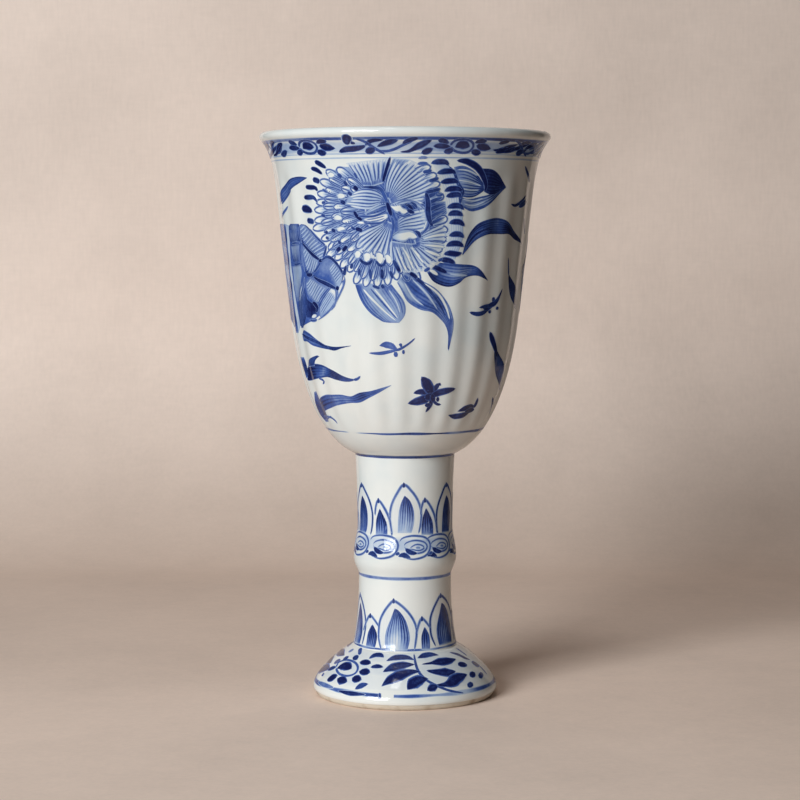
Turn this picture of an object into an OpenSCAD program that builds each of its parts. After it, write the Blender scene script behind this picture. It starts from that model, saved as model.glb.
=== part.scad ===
// Porcelain stem cup: a fluted bowl on a hollow stem of two lengths and a domed, spreading foot.
// The four sections are made apart, joined with slip while leather hard, and then glazed.
// Millimetres, +Z up. The origin is on the table, at the centre of the foot ring.

/* [Foot] */
// Widest diameter of the foot
foot_d = 49.4; // [44:0.2:58]
// Height of the foot, from the table to its joint with the stem
foot_h = 13.4; // [12:0.2:18]
// Height of the widest line of the foot above the table
foot_edge_h = 2.3; // [1.8:0.1:3.2]
// How far the resting ring is turned in from the widest line
foot_tuck = 1.1; // [0.6:0.1:1.8]
// Width of the bare ring that the cup rests on
foot_ring_w = 2.6; // [1.6:0.1:3.6]
// Height of the hollow under the foot, up to the bore of the stem
foot_hollow_h = 9.6; // [7:0.2:10]
// Height above the table at which the glaze stops
glaze_stop_h = 1.5; // [1:0.1:1.7]

/* [Stem] */
// Diameter of the lower stem at the foot
stem_foot_d = 27.7; // [26:0.1:30]
// Diameter of the stem at the joint below the knop
stem_neck_d = 24.8; // [24:0.1:26]
// Diameter of the knop, the swelling of the upper stem
knop_d = 27.6; // [26.5:0.1:30]
// Diameter of the upper stem above the knop
stem_d = 25.4; // [24.2:0.1:26.4]
// Diameter of the stem at the bowl
stem_top_d = 26.6; // [25.6:0.1:28]
// Height of the lower stem
lower_stem_h = 18.8; // [14:0.2:24]
// Height of the upper stem
upper_stem_h = 32.3; // [26:0.2:40]
// Height of the widest line of the knop above the joint below it
knop_mid_h = 5.1; // [4:0.1:6]
// Height of the top of the knop above the joint below it
knop_h = 12.8; // [11:0.1:15]
// Diameter of the bore through the stem
stem_bore_d = 17; // [14:0.2:18]

/* [Bowl] */
// Height of the bowl, from its joint with the stem to the lip
bowl_h = 85.5; // [80:0.5:95]
// Diameter across the lip
rim_d = 77.2; // [74:0.2:84]
// Radius of the rounded lip
lip_r = 1.3; // [1:0.05:1.5]
// Outside diameter where the wall starts to flare out to the lip
flare_d = 68; // [66:0.2:70]
// Depth of the flare below the lip
flare_h = 16.7; // [14:0.1:20]
// Outside diameter where the round bottom runs into the straight wall
belly_d = 60.8; // [58:0.2:63]
// Height of the round bottom above the joint
belly_h = 37; // [33:0.5:40]
// Thickness of the wall
bowl_wall = 2.7; // [2.2:0.1:3.2]
// Thickness of the floor over the stem
bowl_floor = 4.2; // [3.4:0.1:5]

/* [Flutes] */
// Number of flutes moulded around the wall
flutes = 26; // [18:1:32]
// Depth of a flute, from crest to valley
flute_depth = 0.5; // [0.2:0.05:0.8]
// Height above the joint at which the flutes begin
flute_from_h = 5.5; // [4.5:0.5:10]
// Height above the joint at which the flutes end
flute_to_h = 77; // [70:0.5:79]
// Height over which a flute deepens or dies away
flute_run_h = 7; // [3:0.5:12]
// Angle of one crest, turned from the right-hand side
flute_turn = 3.98; // [0:0.01:13.84]

/* [Joints and glaze] */
// Thickness of the slip in each joint
slip_t = 0.5; // [0.3:0.05:0.8]
// Height of the spigots that centre the sections on each other
spigot_h = 2.5; // [1.5:0.1:3.2]
// Wall of the spigots on the lower stem
spigot_wall = 1.8; // [1.4:0.1:2]
// Gap around and above a spigot
spigot_gap = 0.15; // [0.1:0.05:0.3]
// Thickness of the glaze
glaze_t = 0.3; // [0.2:0.05:0.4]

/* [Hidden] */
$fn = 96;

// Colours of the fired body, the slip and the glaze
body_colour = [0.93, 0.90, 0.84];
slip_colour = [0.84, 0.80, 0.73];
glaze_colour = [0.88, 0.91, 0.93];

// Heights of the joints, each the under side of its slip
foot_joint_z = foot_h;
knop_joint_z = foot_joint_z + lower_stem_h;
bowl_joint_z = knop_joint_z + upper_stem_h;
lip_top_z = bowl_joint_z + bowl_h;
floor_z = bowl_joint_z + slip_t + bowl_floor;

// Radii
bore_r = stem_bore_d / 2;
spigot_r = bore_r + spigot_wall;
socket_r = spigot_r + spigot_gap;
foot_ring_r = foot_d / 2 - foot_tuck;
hollow_r = foot_ring_r - foot_ring_w;

// Centre of the rounded lip, and the turn below level at which the flare meets it
lip_c = [rim_d / 2 - lip_r, lip_top_z - lip_r];
lip_turn = 50;
// Turn past the crest at which the inside of the lip begins
mouth_turn = 5;

// Slope of the straight wall, as radius gained for each millimetre of height
belly_z = bowl_joint_z + belly_h;
flare_z = lip_top_z - flare_h;
wall_slope = (flare_d - belly_d) / 2 / (flare_z - belly_z);

// Reach of the curve handles: how far each curve runs on before it turns, out and up
belly_spread = [7.3, 2.5];
belly_run = 22;
flare_run = 6.5;
lip_run = 3.4;
floor_spread = 21;
floor_run = 23.5;
stem_flare_run = [-0.75, 3];
stem_straight_run = 10;
knop_foot_run = [0.35, 1.4];
knop_rise = 2.2;
knop_top_run = [0.15, -2.2];
stem_rise = 6;
stem_top_run = [-0.33, -4.9];
foot_edge_run = [0.37, 0.46];
foot_edge_rise = 1.15;
dome_rise = 2.3;
dome_spread = [5.5, -3.1];
hollow_rise = 3;
hollow_spread = [6, -0.6];

// Steps along each curve, and around each flute
curve_n = 8;
wall_n = 3;
flare_n = 5;
lip_n = 4;
flute_n = 4;

// Points from the second step to the end of a cubic curve through four control points
function cubic(p, t) =
    pow(1 - t, 3) * p[0] + 3 * t * pow(1 - t, 2) * p[1] + 3 * t * t * (1 - t) * p[2] + pow(t, 3) * p[3];
function curve(p, n = curve_n) = [for (i = [1:n]) cubic(p, i / n)];
// Points on a circle about c, in turns from a to b
function arc(c, r, a, b, n = lip_n) =
    [for (i = [1:n]) let (t = a + (b - a) * i / n) c + r * [cos(t), sin(t)]];
function mid(a, b, t) = a + (b - a) * t;
function backwards(p) = [for (i = [len(p) - 1:-1:0]) p[i]];
function smooth_step(a, b, x) = let (t = max(0, min(1, (x - a) / (b - a)))) t * t * (3 - 2 * t);

// Outlines, from low to high, as [radius, height]. d is how far the line lies inside the glazed face.

// Outside of the foot: its rounded edge, and its dome up to the joint with the stem
function foot_edge(d) = let (a = [foot_ring_r - d, 0], b = [foot_d / 2 - d, foot_edge_h])
    concat([a], curve([a, [b[0] - foot_edge_run[0], foot_edge_run[1]], b - [0, foot_edge_rise], b], flare_n));
function foot_dome(d) = let (a = [foot_d / 2 - d, foot_edge_h], b = [stem_foot_d / 2 - d, foot_joint_z])
    curve([a, a + [0, dome_rise], b + dome_spread, b]);
function below_glaze(p) = [for (q = p) if (q[1] < glaze_stop_h) q];
function above_glaze(p) = [for (q = p) if (q[1] > glaze_stop_h) q];
// Hollow under the foot, from where its glaze stops to the bore
function foot_hollow(d) = let (a = [hollow_r + d, glaze_stop_h], b = [bore_r - glaze_t + d, foot_hollow_h + d])
    concat([a], curve([a, a + [0, hollow_rise], b + hollow_spread, b]));
// Outside of the two lengths of stem
function lower_stem_side(d) = let (a = [stem_foot_d / 2 - d, foot_joint_z + slip_t],
                                   b = [stem_neck_d / 2 - d, knop_joint_z])
    concat([a], curve([a, a + stem_flare_run, b - [0, stem_straight_run], b]));
function upper_stem_side(d) =
    let (a = [stem_neck_d / 2 - d, knop_joint_z + slip_t],
         m = [knop_d / 2 - d, knop_joint_z + knop_mid_h],
         k = [stem_d / 2 - d, knop_joint_z + knop_h],
         b = [stem_top_d / 2 - d, bowl_joint_z])
    concat([a],
           curve([a, a + knop_foot_run, m - [0, knop_rise], m], flare_n),
           curve([m, m + [0, knop_rise], k + knop_top_run, k], flare_n),
           curve([k, k + [0, stem_rise], b + stem_top_run, b], flare_n));
// Outside of the bowl from its joint to the crest of the lip
function bowl_outside(d) =
    let (a = [stem_top_d / 2 - d, bowl_joint_z + slip_t],
         b = [belly_d / 2 - d, belly_z],
         f = [flare_d / 2 - d, flare_z],
         l = lip_c + (lip_r - d) * [cos(lip_turn), -sin(lip_turn)])
    concat([a],
           curve([a, a + belly_spread, b - belly_run * [wall_slope, 1], b]),
           [for (i = [1:wall_n]) mid(b, f, i / wall_n)],
           curve([f, f + flare_run * [wall_slope, 1], l - lip_run * [sin(lip_turn), cos(lip_turn)], l],
                 flare_n),
           arc(lip_c, lip_r - d, -lip_turn, 90));
// Inside of the bowl from the middle of its floor to the crest of the lip
function bowl_inside(d) =
    let (c = [0, floor_z - d],
         b = [belly_d / 2 - bowl_wall + d, belly_z],
         f = [flare_d / 2 - bowl_wall + d, flare_z],
         l = lip_c - (lip_r - d) * [cos(lip_turn), -sin(lip_turn)])
    concat([c],
           curve([c, c + [floor_spread, 0], b - floor_run * [wall_slope, 1], b]),
           [f],
           curve([f, f + flare_run * [wall_slope, 1], l - lip_run * [sin(lip_turn), cos(lip_turn)], l],
                 flare_n),
           arc(lip_c, lip_r - d, 180 - lip_turn, 90 + mouth_turn));

// Depth of the flutes at a height and an angle, as a change of radius
function flute_wave(z, a) = let (h = z - bowl_joint_z)
    -flute_depth / 2 * (1 - cos(flutes * (a - flute_turn)))
    * smooth_step(flute_from_h, flute_from_h + flute_run_h, h)
    * (1 - smooth_step(flute_to_h - flute_run_h, flute_to_h, h));
// One ring of points of the fluted wall
columns = flutes * flute_n;
function ring(p) = [for (k = [0:columns - 1])
    let (a = flute_turn + 360 * k / columns, r = p[0] + flute_wave(p[1], a)) [r * cos(a), r * sin(a), p[1]]];

// Skin of triangles over rings of points, closed either by flat ends or back on itself
module loft(outline, joined_up = false) {
    n = len(outline);
    bands = joined_up ? n : n - 1;
    points = [for (p = outline) each ring(p)];
    sides = [for (i = [0:bands - 1], k = [0:columns - 1])
        let (l = (k + 1) % columns, a = i * columns, b = ((i + 1) % n) * columns)
        each [[a + k, b + k, b + l], [a + k, b + l, a + l]]];
    low_end = [for (k = [0:columns - 1]) k];
    high_end = [for (k = [columns - 1:-1:0]) (n - 1) * columns + k];
    polyhedron(points, joined_up ? sides : concat(sides, [low_end, high_end]));
}

// Flat ring of slip between two sections
module luting(outer_d, inner_r, z) {
    color(slip_colour) rotate_extrude()
        translate([inner_r, z]) square([outer_d / 2 - glaze_t - inner_r, slip_t]);
}

// Fluted bowl, open at the top, with a boss underneath that drops into the bore of the stem
module bowl() {
    boss_r = bore_r - spigot_gap;
    seat_z = bowl_joint_z + slip_t;
    color(body_colour) union() {
        difference() {
            loft(bowl_outside(glaze_t));
            rotate_extrude() polygon(concat(
                bowl_inside(glaze_t),
                [[lip_c[0] - (lip_r - glaze_t) * sin(mouth_turn), lip_top_z + lip_r], [0, lip_top_z + lip_r]]));
        }
        translate([0, 0, seat_z - spigot_h]) cylinder(h = spigot_h + slip_t, r = boss_r);
    }
}

// Upper stem with its knop, a socket below and an open bore above
module upper_stem() {
    side = upper_stem_side(glaze_t);
    low_z = knop_joint_z + slip_t;
    socket_z = knop_joint_z + spigot_h + spigot_gap;
    color(body_colour) rotate_extrude() polygon(concat(
        side, [[bore_r, bowl_joint_z], [bore_r, socket_z], [socket_r, socket_z], [socket_r, low_z]]));
}

// Lower stem with a spigot at each end
module lower_stem() {
    side = lower_stem_side(glaze_t);
    low_z = foot_joint_z + slip_t;
    color(body_colour) rotate_extrude() polygon(concat(
        side, [[spigot_r, knop_joint_z], [spigot_r, knop_joint_z + spigot_h],
               [bore_r, knop_joint_z + spigot_h], [bore_r, low_z - spigot_h],
               [spigot_r, low_z - spigot_h], [spigot_r, low_z]]));
}

// Domed foot, hollow underneath, with a socket for the stem and a flat ring to rest on
module foot() {
    socket_z = foot_joint_z + slip_t - spigot_h - spigot_gap;
    bare = below_glaze(foot_edge(0));
    glazed = above_glaze(foot_edge(glaze_t));
    bare_r = bare[len(bare) - 1][0];
    color(body_colour) rotate_extrude() polygon(concat(
        bare, [[bare_r, glaze_stop_h], [glazed[0][0], glaze_stop_h]], glazed, foot_dome(glaze_t),
        [[socket_r, foot_joint_z], [socket_r, socket_z], [bore_r, socket_z]],
        backwards(foot_hollow(glaze_t)), [[hollow_r, glaze_stop_h], [hollow_r, 0]]));
}

module bowl_luting() luting(stem_top_d, bore_r, bowl_joint_z);
module knop_luting() luting(stem_neck_d, socket_r, knop_joint_z);
module foot_luting() luting(stem_foot_d, socket_r, foot_joint_z);

// Glaze over the outside of the bowl, up to the crest of the lip
module bowl_glaze() {
    seat_r = stem_top_d / 2;
    color(glaze_colour) loft(concat(
        [[seat_r - glaze_t, bowl_joint_z], [seat_r, bowl_joint_z]],
        bowl_outside(0), backwards(bowl_outside(glaze_t))), joined_up = true);
}

// Glaze over the inside of the bowl
module bowl_lining() {
    color(glaze_colour) rotate_extrude() polygon(concat(
        bowl_inside(0), [[lip_c[0], lip_top_z], [lip_c[0], lip_top_z - glaze_t]],
        backwards(bowl_inside(glaze_t))));
}

// Glaze over a length of stem and the slip below it
module stem_coat(low_d, z, outer, inner) {
    color(glaze_colour) rotate_extrude() polygon(concat(
        [[low_d / 2, z]], outer, backwards(inner), [[low_d / 2 - glaze_t, z]]));
}
module upper_stem_glaze()
    stem_coat(stem_neck_d, knop_joint_z, upper_stem_side(0), upper_stem_side(glaze_t));
module lower_stem_glaze()
    stem_coat(stem_foot_d, foot_joint_z, lower_stem_side(0), lower_stem_side(glaze_t));

// Glaze over the dome of the foot, down to the bare ring
module foot_glaze() {
    outer = concat(above_glaze(foot_edge(0)), foot_dome(0));
    inner = concat(above_glaze(foot_edge(glaze_t)), foot_dome(glaze_t));
    color(glaze_colour) rotate_extrude() polygon(concat(
        [[outer[0][0], glaze_stop_h]], outer, backwards(inner), [[inner[0][0], glaze_stop_h]]));
}

// Thin glaze inside the foot and the bore of the stem
module underside_glaze() {
    top_z = bowl_joint_z + slip_t - spigot_h - spigot_gap;
    color(glaze_colour) rotate_extrude() polygon(concat(
        foot_hollow(0), [[bore_r - glaze_t, top_z], [bore_r, top_z]], backwards(foot_hollow(glaze_t))));
}

bowl();
upper_stem();
lower_stem();
foot();
bowl_luting();
knop_luting();
foot_luting();
bowl_glaze();
bowl_lining();
upper_stem_glaze();
lower_stem_glaze();
foot_glaze();
underside_glaze();
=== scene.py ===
"""Blue-and-white porcelain stem cup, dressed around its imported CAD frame.

The turned sections are spun from the same outlines as the CAD solids. The cobalt painting is laid on the
glaze as thin washes and brush strokes, each with a tone from bare glaze to the deepest blue.
"""

import bisect
import math
import random

import bmesh
import bpy
from bpy.props import FloatProperty, FloatVectorProperty, IntProperty, PointerProperty
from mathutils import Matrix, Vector


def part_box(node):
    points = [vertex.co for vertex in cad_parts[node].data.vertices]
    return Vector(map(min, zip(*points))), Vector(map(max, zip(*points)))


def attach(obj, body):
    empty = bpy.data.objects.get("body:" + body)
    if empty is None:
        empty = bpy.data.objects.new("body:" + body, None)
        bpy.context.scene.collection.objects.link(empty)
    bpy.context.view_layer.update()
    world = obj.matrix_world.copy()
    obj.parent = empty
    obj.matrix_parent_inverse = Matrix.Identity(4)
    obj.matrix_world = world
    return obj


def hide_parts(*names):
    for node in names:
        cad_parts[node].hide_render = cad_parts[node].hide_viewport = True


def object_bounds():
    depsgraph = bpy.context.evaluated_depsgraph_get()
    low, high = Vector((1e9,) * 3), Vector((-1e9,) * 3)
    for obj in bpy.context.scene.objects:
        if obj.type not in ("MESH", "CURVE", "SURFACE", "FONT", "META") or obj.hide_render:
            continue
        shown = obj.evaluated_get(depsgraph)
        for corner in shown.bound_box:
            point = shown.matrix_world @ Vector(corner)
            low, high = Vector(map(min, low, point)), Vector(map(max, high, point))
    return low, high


bl_info = {
    "name": "Stem Cup",
    "version": (1, 0, 0),
    "blender": (4, 5, 0),
    "location": "3D View > Sidebar > Stem Cup",
    "description": "Builds a blue-and-white porcelain stem cup around its CAD frame",
    "category": "Object",
}

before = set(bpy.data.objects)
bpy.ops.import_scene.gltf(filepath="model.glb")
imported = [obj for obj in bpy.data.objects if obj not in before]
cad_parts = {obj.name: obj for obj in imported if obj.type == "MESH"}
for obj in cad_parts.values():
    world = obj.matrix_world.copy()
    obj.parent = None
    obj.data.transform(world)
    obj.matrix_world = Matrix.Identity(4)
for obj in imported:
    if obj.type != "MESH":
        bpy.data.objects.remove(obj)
CAD_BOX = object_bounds()
MM = 0.001

# Joints between the turned sections, and the lip, as heights in mm from the frame
FOOT_JOINT = round(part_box("foot_glaze")[1].z / MM, 2)
KNOP_JOINT = round(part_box("lower_stem_glaze")[1].z / MM, 2)
BOWL_JOINT = round(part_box("upper_stem_glaze")[1].z / MM, 2)
LIP_TOP = round(CAD_BOX[1].z / MM, 2)

# The photograph's camera, in mm and pixels, and where a look along its ray for the glaze begins
FRAME_PX = 800
FOCAL_PX = 2183.5
SENSOR_MM = 36.0
CAMERA_BACK = 582.0
CAMERA_HEIGHT = 124.0
CAMERA_SIDE = -1.33
CAMERA_PITCH = math.radians(4.42)
FIRST_LOOK, LOOKS, HALVINGS = CAMERA_BACK - 40, 42, 12


# Outlines of the glazed sections, as (radius, height) in mm
def bezier(a, b, c, d):
    """Points of a cubic curve after its first, about every 1.2 mm."""
    steps = max(3, math.ceil((math.dist(a, b) + math.dist(b, c) + math.dist(c, d)) / 1.2))
    made = []
    for i in range(1, steps + 1):
        t = i / steps
        k = ((1 - t) ** 3, 3 * t * (1 - t) ** 2, 3 * t * t * (1 - t), t**3)
        made.append(tuple(sum(w * p[j] for w, p in zip(k, (a, b, c, d))) for j in (0, 1)))
    return made


def run(start, *parts):
    """An outline from a start point: each part is one point, for a straight line, or three, for a curve."""
    line = [start]
    for part in parts:
        line += [part] if isinstance(part[0], float) else bezier(line[-1], *part)
    return line


def arc(centre, radius, first, last, steps):
    """Points of a round edge, by its angles in degrees, after the first."""
    angles = [math.radians(first + (last - first) * i / steps) for i in range(1, steps + 1)]
    return [(centre[0] + radius * math.cos(a), centre[1] + radius * math.sin(a)) for a in angles]


WALL_SLOPE = (34.0 - 30.4) / (133.3 - 101.5)
LIP_CENTRE, LIP_R = (37.25, LIP_TOP - 1.3), 1.3
LIP_OUT = (38.09, 147.7)
FOOT_RING_R, GLAZE_STOP = 23.6, 1.5
BORE_R, BORE_STOP = 8.2, BOWL_JOINT - 2.15
SHARP_EDGE, RING_EDGE = math.radians(50), math.radians(40)
FOOT_OUTLINE = run((24.7, 2.3), ((24.7, 4.6), (19.35, 10.3), (13.85, FOOT_JOINT)))
LOWER_STEM_OUTLINE = run(
    (13.85, FOOT_JOINT),
    (13.85, 13.9),
    ((13.1, 16.9), (12.4, 22.2), (12.4, KNOP_JOINT)),
)
UPPER_STEM_OUTLINE = run(
    (12.4, KNOP_JOINT),
    (12.4, 32.7),
    ((12.75, 34.1), (13.8, 35.1), (13.8, 37.3)),
    ((13.8, 39.5), (12.85, 42.8), (12.7, 45.0)),
    ((12.7, 51.0), (12.97, 59.6), (13.3, BOWL_JOINT)),
)
BOWL_OUTLINE = run(
    (13.3, BOWL_JOINT),
    (13.3, 65.0),
    ((20.6, 67.5), (30.4 - 22 * WALL_SLOPE, 79.5), (30.4, 101.5)),
    ((31.6, 112.1), (32.8, 122.7), (34.0, 133.3)),
    ((34.74, 139.8), (35.49, 145.51), LIP_OUT),
) + arc(LIP_CENTRE, LIP_R, -50, 90, 8)
BOWL_INSIDE = arc(LIP_CENTRE, LIP_R, 90, 130, 3) + run(
    (36.41, 149.7),
    ((33.86, 147.5), (32.04, 139.8), (31.3, 133.3)),
    ((30.1, 122.7), (28.9, 112.1), (27.7, 101.5)),
    ((25.04, 78.0), (21.0, 69.2), (0.0, 69.2)),
)[1:]
SKIN_LINE = FOOT_OUTLINE + LOWER_STEM_OUTLINE[1:] + UPPER_STEM_OUTLINE[1:] + BOWL_OUTLINE[1:]

# Soft moulded flutes of the bowl, in mm above its joint, and how deep in the wall they act
FLUTE_TURN = math.radians(3.98 + 90)
FLUTE_FROM, FLUTE_TO, FLUTE_RUN = 5.5, 77.0, 7.0
FLUTE_REACH = 0.5


def ease(low, high, x):
    """A smooth step from 0 at low to 1 at high."""
    t = min(1.0, max(0.0, (x - low) / (high - low)))
    return t * t * (3 - 2 * t)


def flute(sizes, angle, height):
    """How far the fluted wall lies outside its outline, in mm, and its change with angle."""
    up = height - BOWL_JOINT
    depth = sizes.flute_depth / MM * ease(FLUTE_FROM, FLUTE_FROM + FLUTE_RUN, up)
    depth *= 1 - ease(FLUTE_TO - FLUTE_RUN, FLUTE_TO, up)
    turn = sizes.flutes * (angle - FLUTE_TURN)
    return -depth / 2 * (1 - math.cos(turn)), -depth / 2 * sizes.flutes * math.sin(turn)


class Skin:
    """The glazed outside: angles are from the side that the camera faces, to its right."""

    def __init__(self, sizes):
        self.sizes = sizes
        self.heights = [z for _, z in SKIN_LINE]
        self.radii = [r for r, _ in SKIN_LINE]
        ends = range(len(SKIN_LINE))
        pairs = [(SKIN_LINE[max(0, i - 1)], SKIN_LINE[min(len(SKIN_LINE) - 1, i + 1)]) for i in ends]
        self.slopes = [(b[0] - a[0]) / (b[1] - a[1]) for a, b in pairs]

    def outline(self, height):
        """Radius and slope of the outline at a height."""
        i = min(max(bisect.bisect_right(self.heights, height), 1), len(self.heights) - 1)
        low, high = self.heights[i - 1], self.heights[i]
        t = min(1.0, max(0.0, (height - low) / (high - low)))
        return tuple(values[i - 1] + (values[i] - values[i - 1]) * t for values in (self.radii, self.slopes))

    def at(self, angle, height):
        """The point there, in metres, and the direction that the glaze faces."""
        radius, slope = self.outline(height)
        bulge, turn = flute(self.sizes, angle, height)
        radius += bulge
        out = Vector((math.sin(angle), -math.cos(angle), 0))
        side = Vector((math.cos(angle), math.sin(angle), 0))
        normal = (out - side * (turn / radius) - Vector((0, 0, slope))).normalized()
        return (out * radius + Vector((0, 0, height))) * MM, normal

    def metric(self, height):
        """Millimetres of glaze for one radian round the axis, and for one millimetre of height."""
        radius, slope = self.outline(height)
        return radius, math.hypot(1, slope)

    def spot(self, x, y):
        """The (angle, height) on the glaze that the photograph shows at a pixel, or nearest to it."""
        across, up = (x - FRAME_PX / 2) / FOCAL_PX, (FRAME_PX / 2 - y) / FOCAL_PX
        cos, sin = math.cos(CAMERA_PITCH), math.sin(CAMERA_PITCH)
        dx, dy, dz = across, cos + up * sin, up * cos - sin

        def gap(t):
            radius = math.hypot(CAMERA_SIDE + t * dx, t * dy - CAMERA_BACK)
            return radius - self.outline(CAMERA_HEIGHT + t * dz)[0]

        steps = [FIRST_LOOK + i for i in range(LOOKS)]
        gaps = [gap(t) for t in steps]
        inside = next((i for i, size in enumerate(gaps) if size <= 0), None)
        if inside is None:
            t = steps[gaps.index(min(gaps))]
        else:
            low, t = steps[inside] - 1, steps[inside]
            for _ in range(HALVINGS):
                middle = (low + t) / 2
                low, t = (low, middle) if gap(middle) <= 0 else (middle, t)
        return math.atan2(CAMERA_SIDE + t * dx, CAMERA_BACK - t * dy), CAMERA_HEIGHT + t * dz


# Sizes and colours that a user would change
class StemCupSizes(bpy.types.PropertyGroup):
    """Sizes of the turned shape and of the brush"""

    flutes: IntProperty(name="Flutes", description="Soft flutes round the bowl", default=26, min=8, max=40)
    flute_depth: FloatProperty(
        name="Flute depth",
        description="Depth of a flute",
        default=0.34 * MM,
        subtype="DISTANCE",
        unit="LENGTH",
    )
    paint_lift: FloatProperty(
        name="Paint lift",
        description="Thickness of a painted wash over the glaze",
        default=0.03 * MM,
        subtype="DISTANCE",
        unit="LENGTH",
    )
    turn_steps: IntProperty(
        name="Turning steps",
        description="Faces round a section",
        default=312,
        min=52,
        max=520,
    )


def colour(name, description, value):
    """A colour property."""
    limits = {"size": 4, "min": 0, "max": 1, "subtype": "COLOR"}
    return FloatVectorProperty(name=name, description=description, default=value, **limits)


class StemCupColours(bpy.types.PropertyGroup):
    """Colours of the glaze, the cobalt, the bare foot ring and the stage"""

    glaze: colour("Glaze", "White glaze over porcelain", (0.79, 0.8, 0.77, 1))
    cool_glaze: colour("Thick glaze", "Glaze where it lies thick", (0.7, 0.745, 0.74, 1))
    pale: colour("Pale cobalt", "Thin wash of cobalt", (0.36, 0.47, 0.66, 1))
    middle: colour("Middle cobalt", "Full wash of cobalt", (0.05, 0.105, 0.36, 1))
    deep: colour("Deep cobalt", "Piled brush strokes of cobalt", (0.01, 0.0155, 0.088, 1))
    biscuit: colour("Bare porcelain", "Unglazed foot ring", (0.62, 0.55, 0.45, 1))
    stain: colour("Stain", "Dust and iron in the bare porcelain", (0.4, 0.31, 0.22, 1))
    backdrop: colour("Backdrop", "Paper sweep behind and under the cup", (0.63, 0.505, 0.425, 1))
    # Painted light: the paler colour of the upper wall, where more light falls
    backdrop_painted_light: colour("Pale backdrop", "Upper part of the paper sweep", (0.95, 0.79, 0.69, 1))


# Materials
class Socket:
    """A socket of a material's nodes, so that sums on it add Math nodes."""

    def __init__(self, tree, out=None):
        self.tree, self.out = tree, out

    def node(self, kind, settings=None, inputs=None, out=0):
        """Adds a node: its settings first, then the values or links of its sockets."""
        made = self.tree.nodes.new("ShaderNode" + kind)
        for name, value in (settings or {}).items():
            if name == "stops":
                for i, (place, tint) in enumerate(value):
                    stop = made.color_ramp.elements[i] if i < 2 else made.color_ramp.elements.new(place)
                    stop.position, stop.color = place, tint
            else:
                setattr(made, name, value)
        for name, value in (inputs or {}).items():
            if isinstance(value, Socket):
                self.tree.links.new(value.out, made.inputs[name])
            else:
                made.inputs[name].default_value = value
        return Socket(self.tree, made.outputs[out] if made.outputs else None)

    def math(self, operation, a, b=0.0):
        return self.node("Math", {"operation": operation}, {0: a, 1: b})

    def __add__(self, other):
        return self.math("ADD", self, other)

    def __sub__(self, other):
        return self.math("SUBTRACT", self, other)

    def __rsub__(self, other):
        return self.math("SUBTRACT", other, self)

    def __mul__(self, other):
        return self.math("MULTIPLY", self, other)

    __radd__, __rmul__ = __add__, __mul__

    def step(self, low, high):
        """A smooth step of this value from 0 at low to 1 at high."""
        settings = {"interpolation_type": "SMOOTHSTEP"}
        return self.node("MapRange", settings, {"Value": self, "From Min": low, "From Max": high})

    def mix(self, first, second):
        """The first colour where this value is 0, the second where it is 1."""
        return self.node("Mix", {"data_type": "RGBA"}, {0: self, 6: first, 7: second}, out=2)


def new_material(name):
    """An empty material and a socket to build its nodes from."""
    material = bpy.data.materials.get(name) or bpy.data.materials.new(name)
    material.use_nodes = True
    material.node_tree.nodes.clear()
    return material, Socket(material.node_tree)


def surface(nodes, **inputs):
    """Ends a material in a Principled shader with these inputs."""
    named = {name.replace("_", " ").title().replace("Ior", "IOR"): value for name, value in inputs.items()}
    shader = nodes.node("BsdfPrincipled", inputs=named)
    nodes.node("OutputMaterial", inputs={"Surface": shader})


def textures(nodes):
    """Object coordinates, and a function that makes noise of them by its scale and detail."""
    place = nodes.node("TexCoord", out="Object")

    def noise(scale, detail):
        return nodes.node("TexNoise", inputs={"Vector": place, "Scale": scale, "Detail": detail})

    return place, noise


def painted_glaze(colours):
    """Glossy white glaze over cobalt: the tone attribute goes from 0, bare glaze, to 1, the deepest blue."""
    material, nodes = new_material("painted_glaze")
    _, noise = textures(nodes)
    tone = nodes.node("Attribute", {"attribute_name": "tone"}, out="Fac")
    pooled = noise(55, 3)
    grain = noise(1500, 2)
    settled = noise(420, 3)
    inked = tone * (0.6 + 0.5 * settled + 0.3 * grain)
    white = pooled.step(0.4, 0.72).mix(tuple(colours.glaze), tuple(colours.cool_glaze))
    blue = nodes.node(
        "ValToRGB",
        {"stops": [(0.0, colours.pale), (0.94, colours.deep), (0.2, colours.pale), (0.56, colours.middle)]},
        {"Fac": inked},
    )
    base = inked.step(0.0, 0.24).mix(white, blue)
    peel = noise(260, 2)
    waves = noise(38, 2) + 0.12 * peel
    relief = nodes.node("Bump", inputs={"Strength": 0.06, "Distance": 0.6 * MM, "Height": waves})
    gloss = 0.05 + 0.07 * pooled
    surface(nodes, base_color=base, roughness=gloss, normal=relief, ior=1.5, specular_ior_level=0.44)
    return material


def bare_porcelain(colours):
    """Dry, slightly stained porcelain of the unglazed foot ring."""
    material, nodes = new_material("bare_porcelain")
    _, noise = textures(nodes)
    grain = noise(2600, 3)
    blotch = noise(210, 4)
    base = blotch.step(0.46, 0.74).mix(tuple(colours.biscuit), tuple(colours.stain))
    relief = nodes.node("Bump", inputs={"Strength": 0.4, "Distance": 0.2 * MM, "Height": grain + blotch})
    surface(nodes, base_color=base, roughness=0.62 + 0.3 * grain, normal=relief)
    return material


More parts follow.
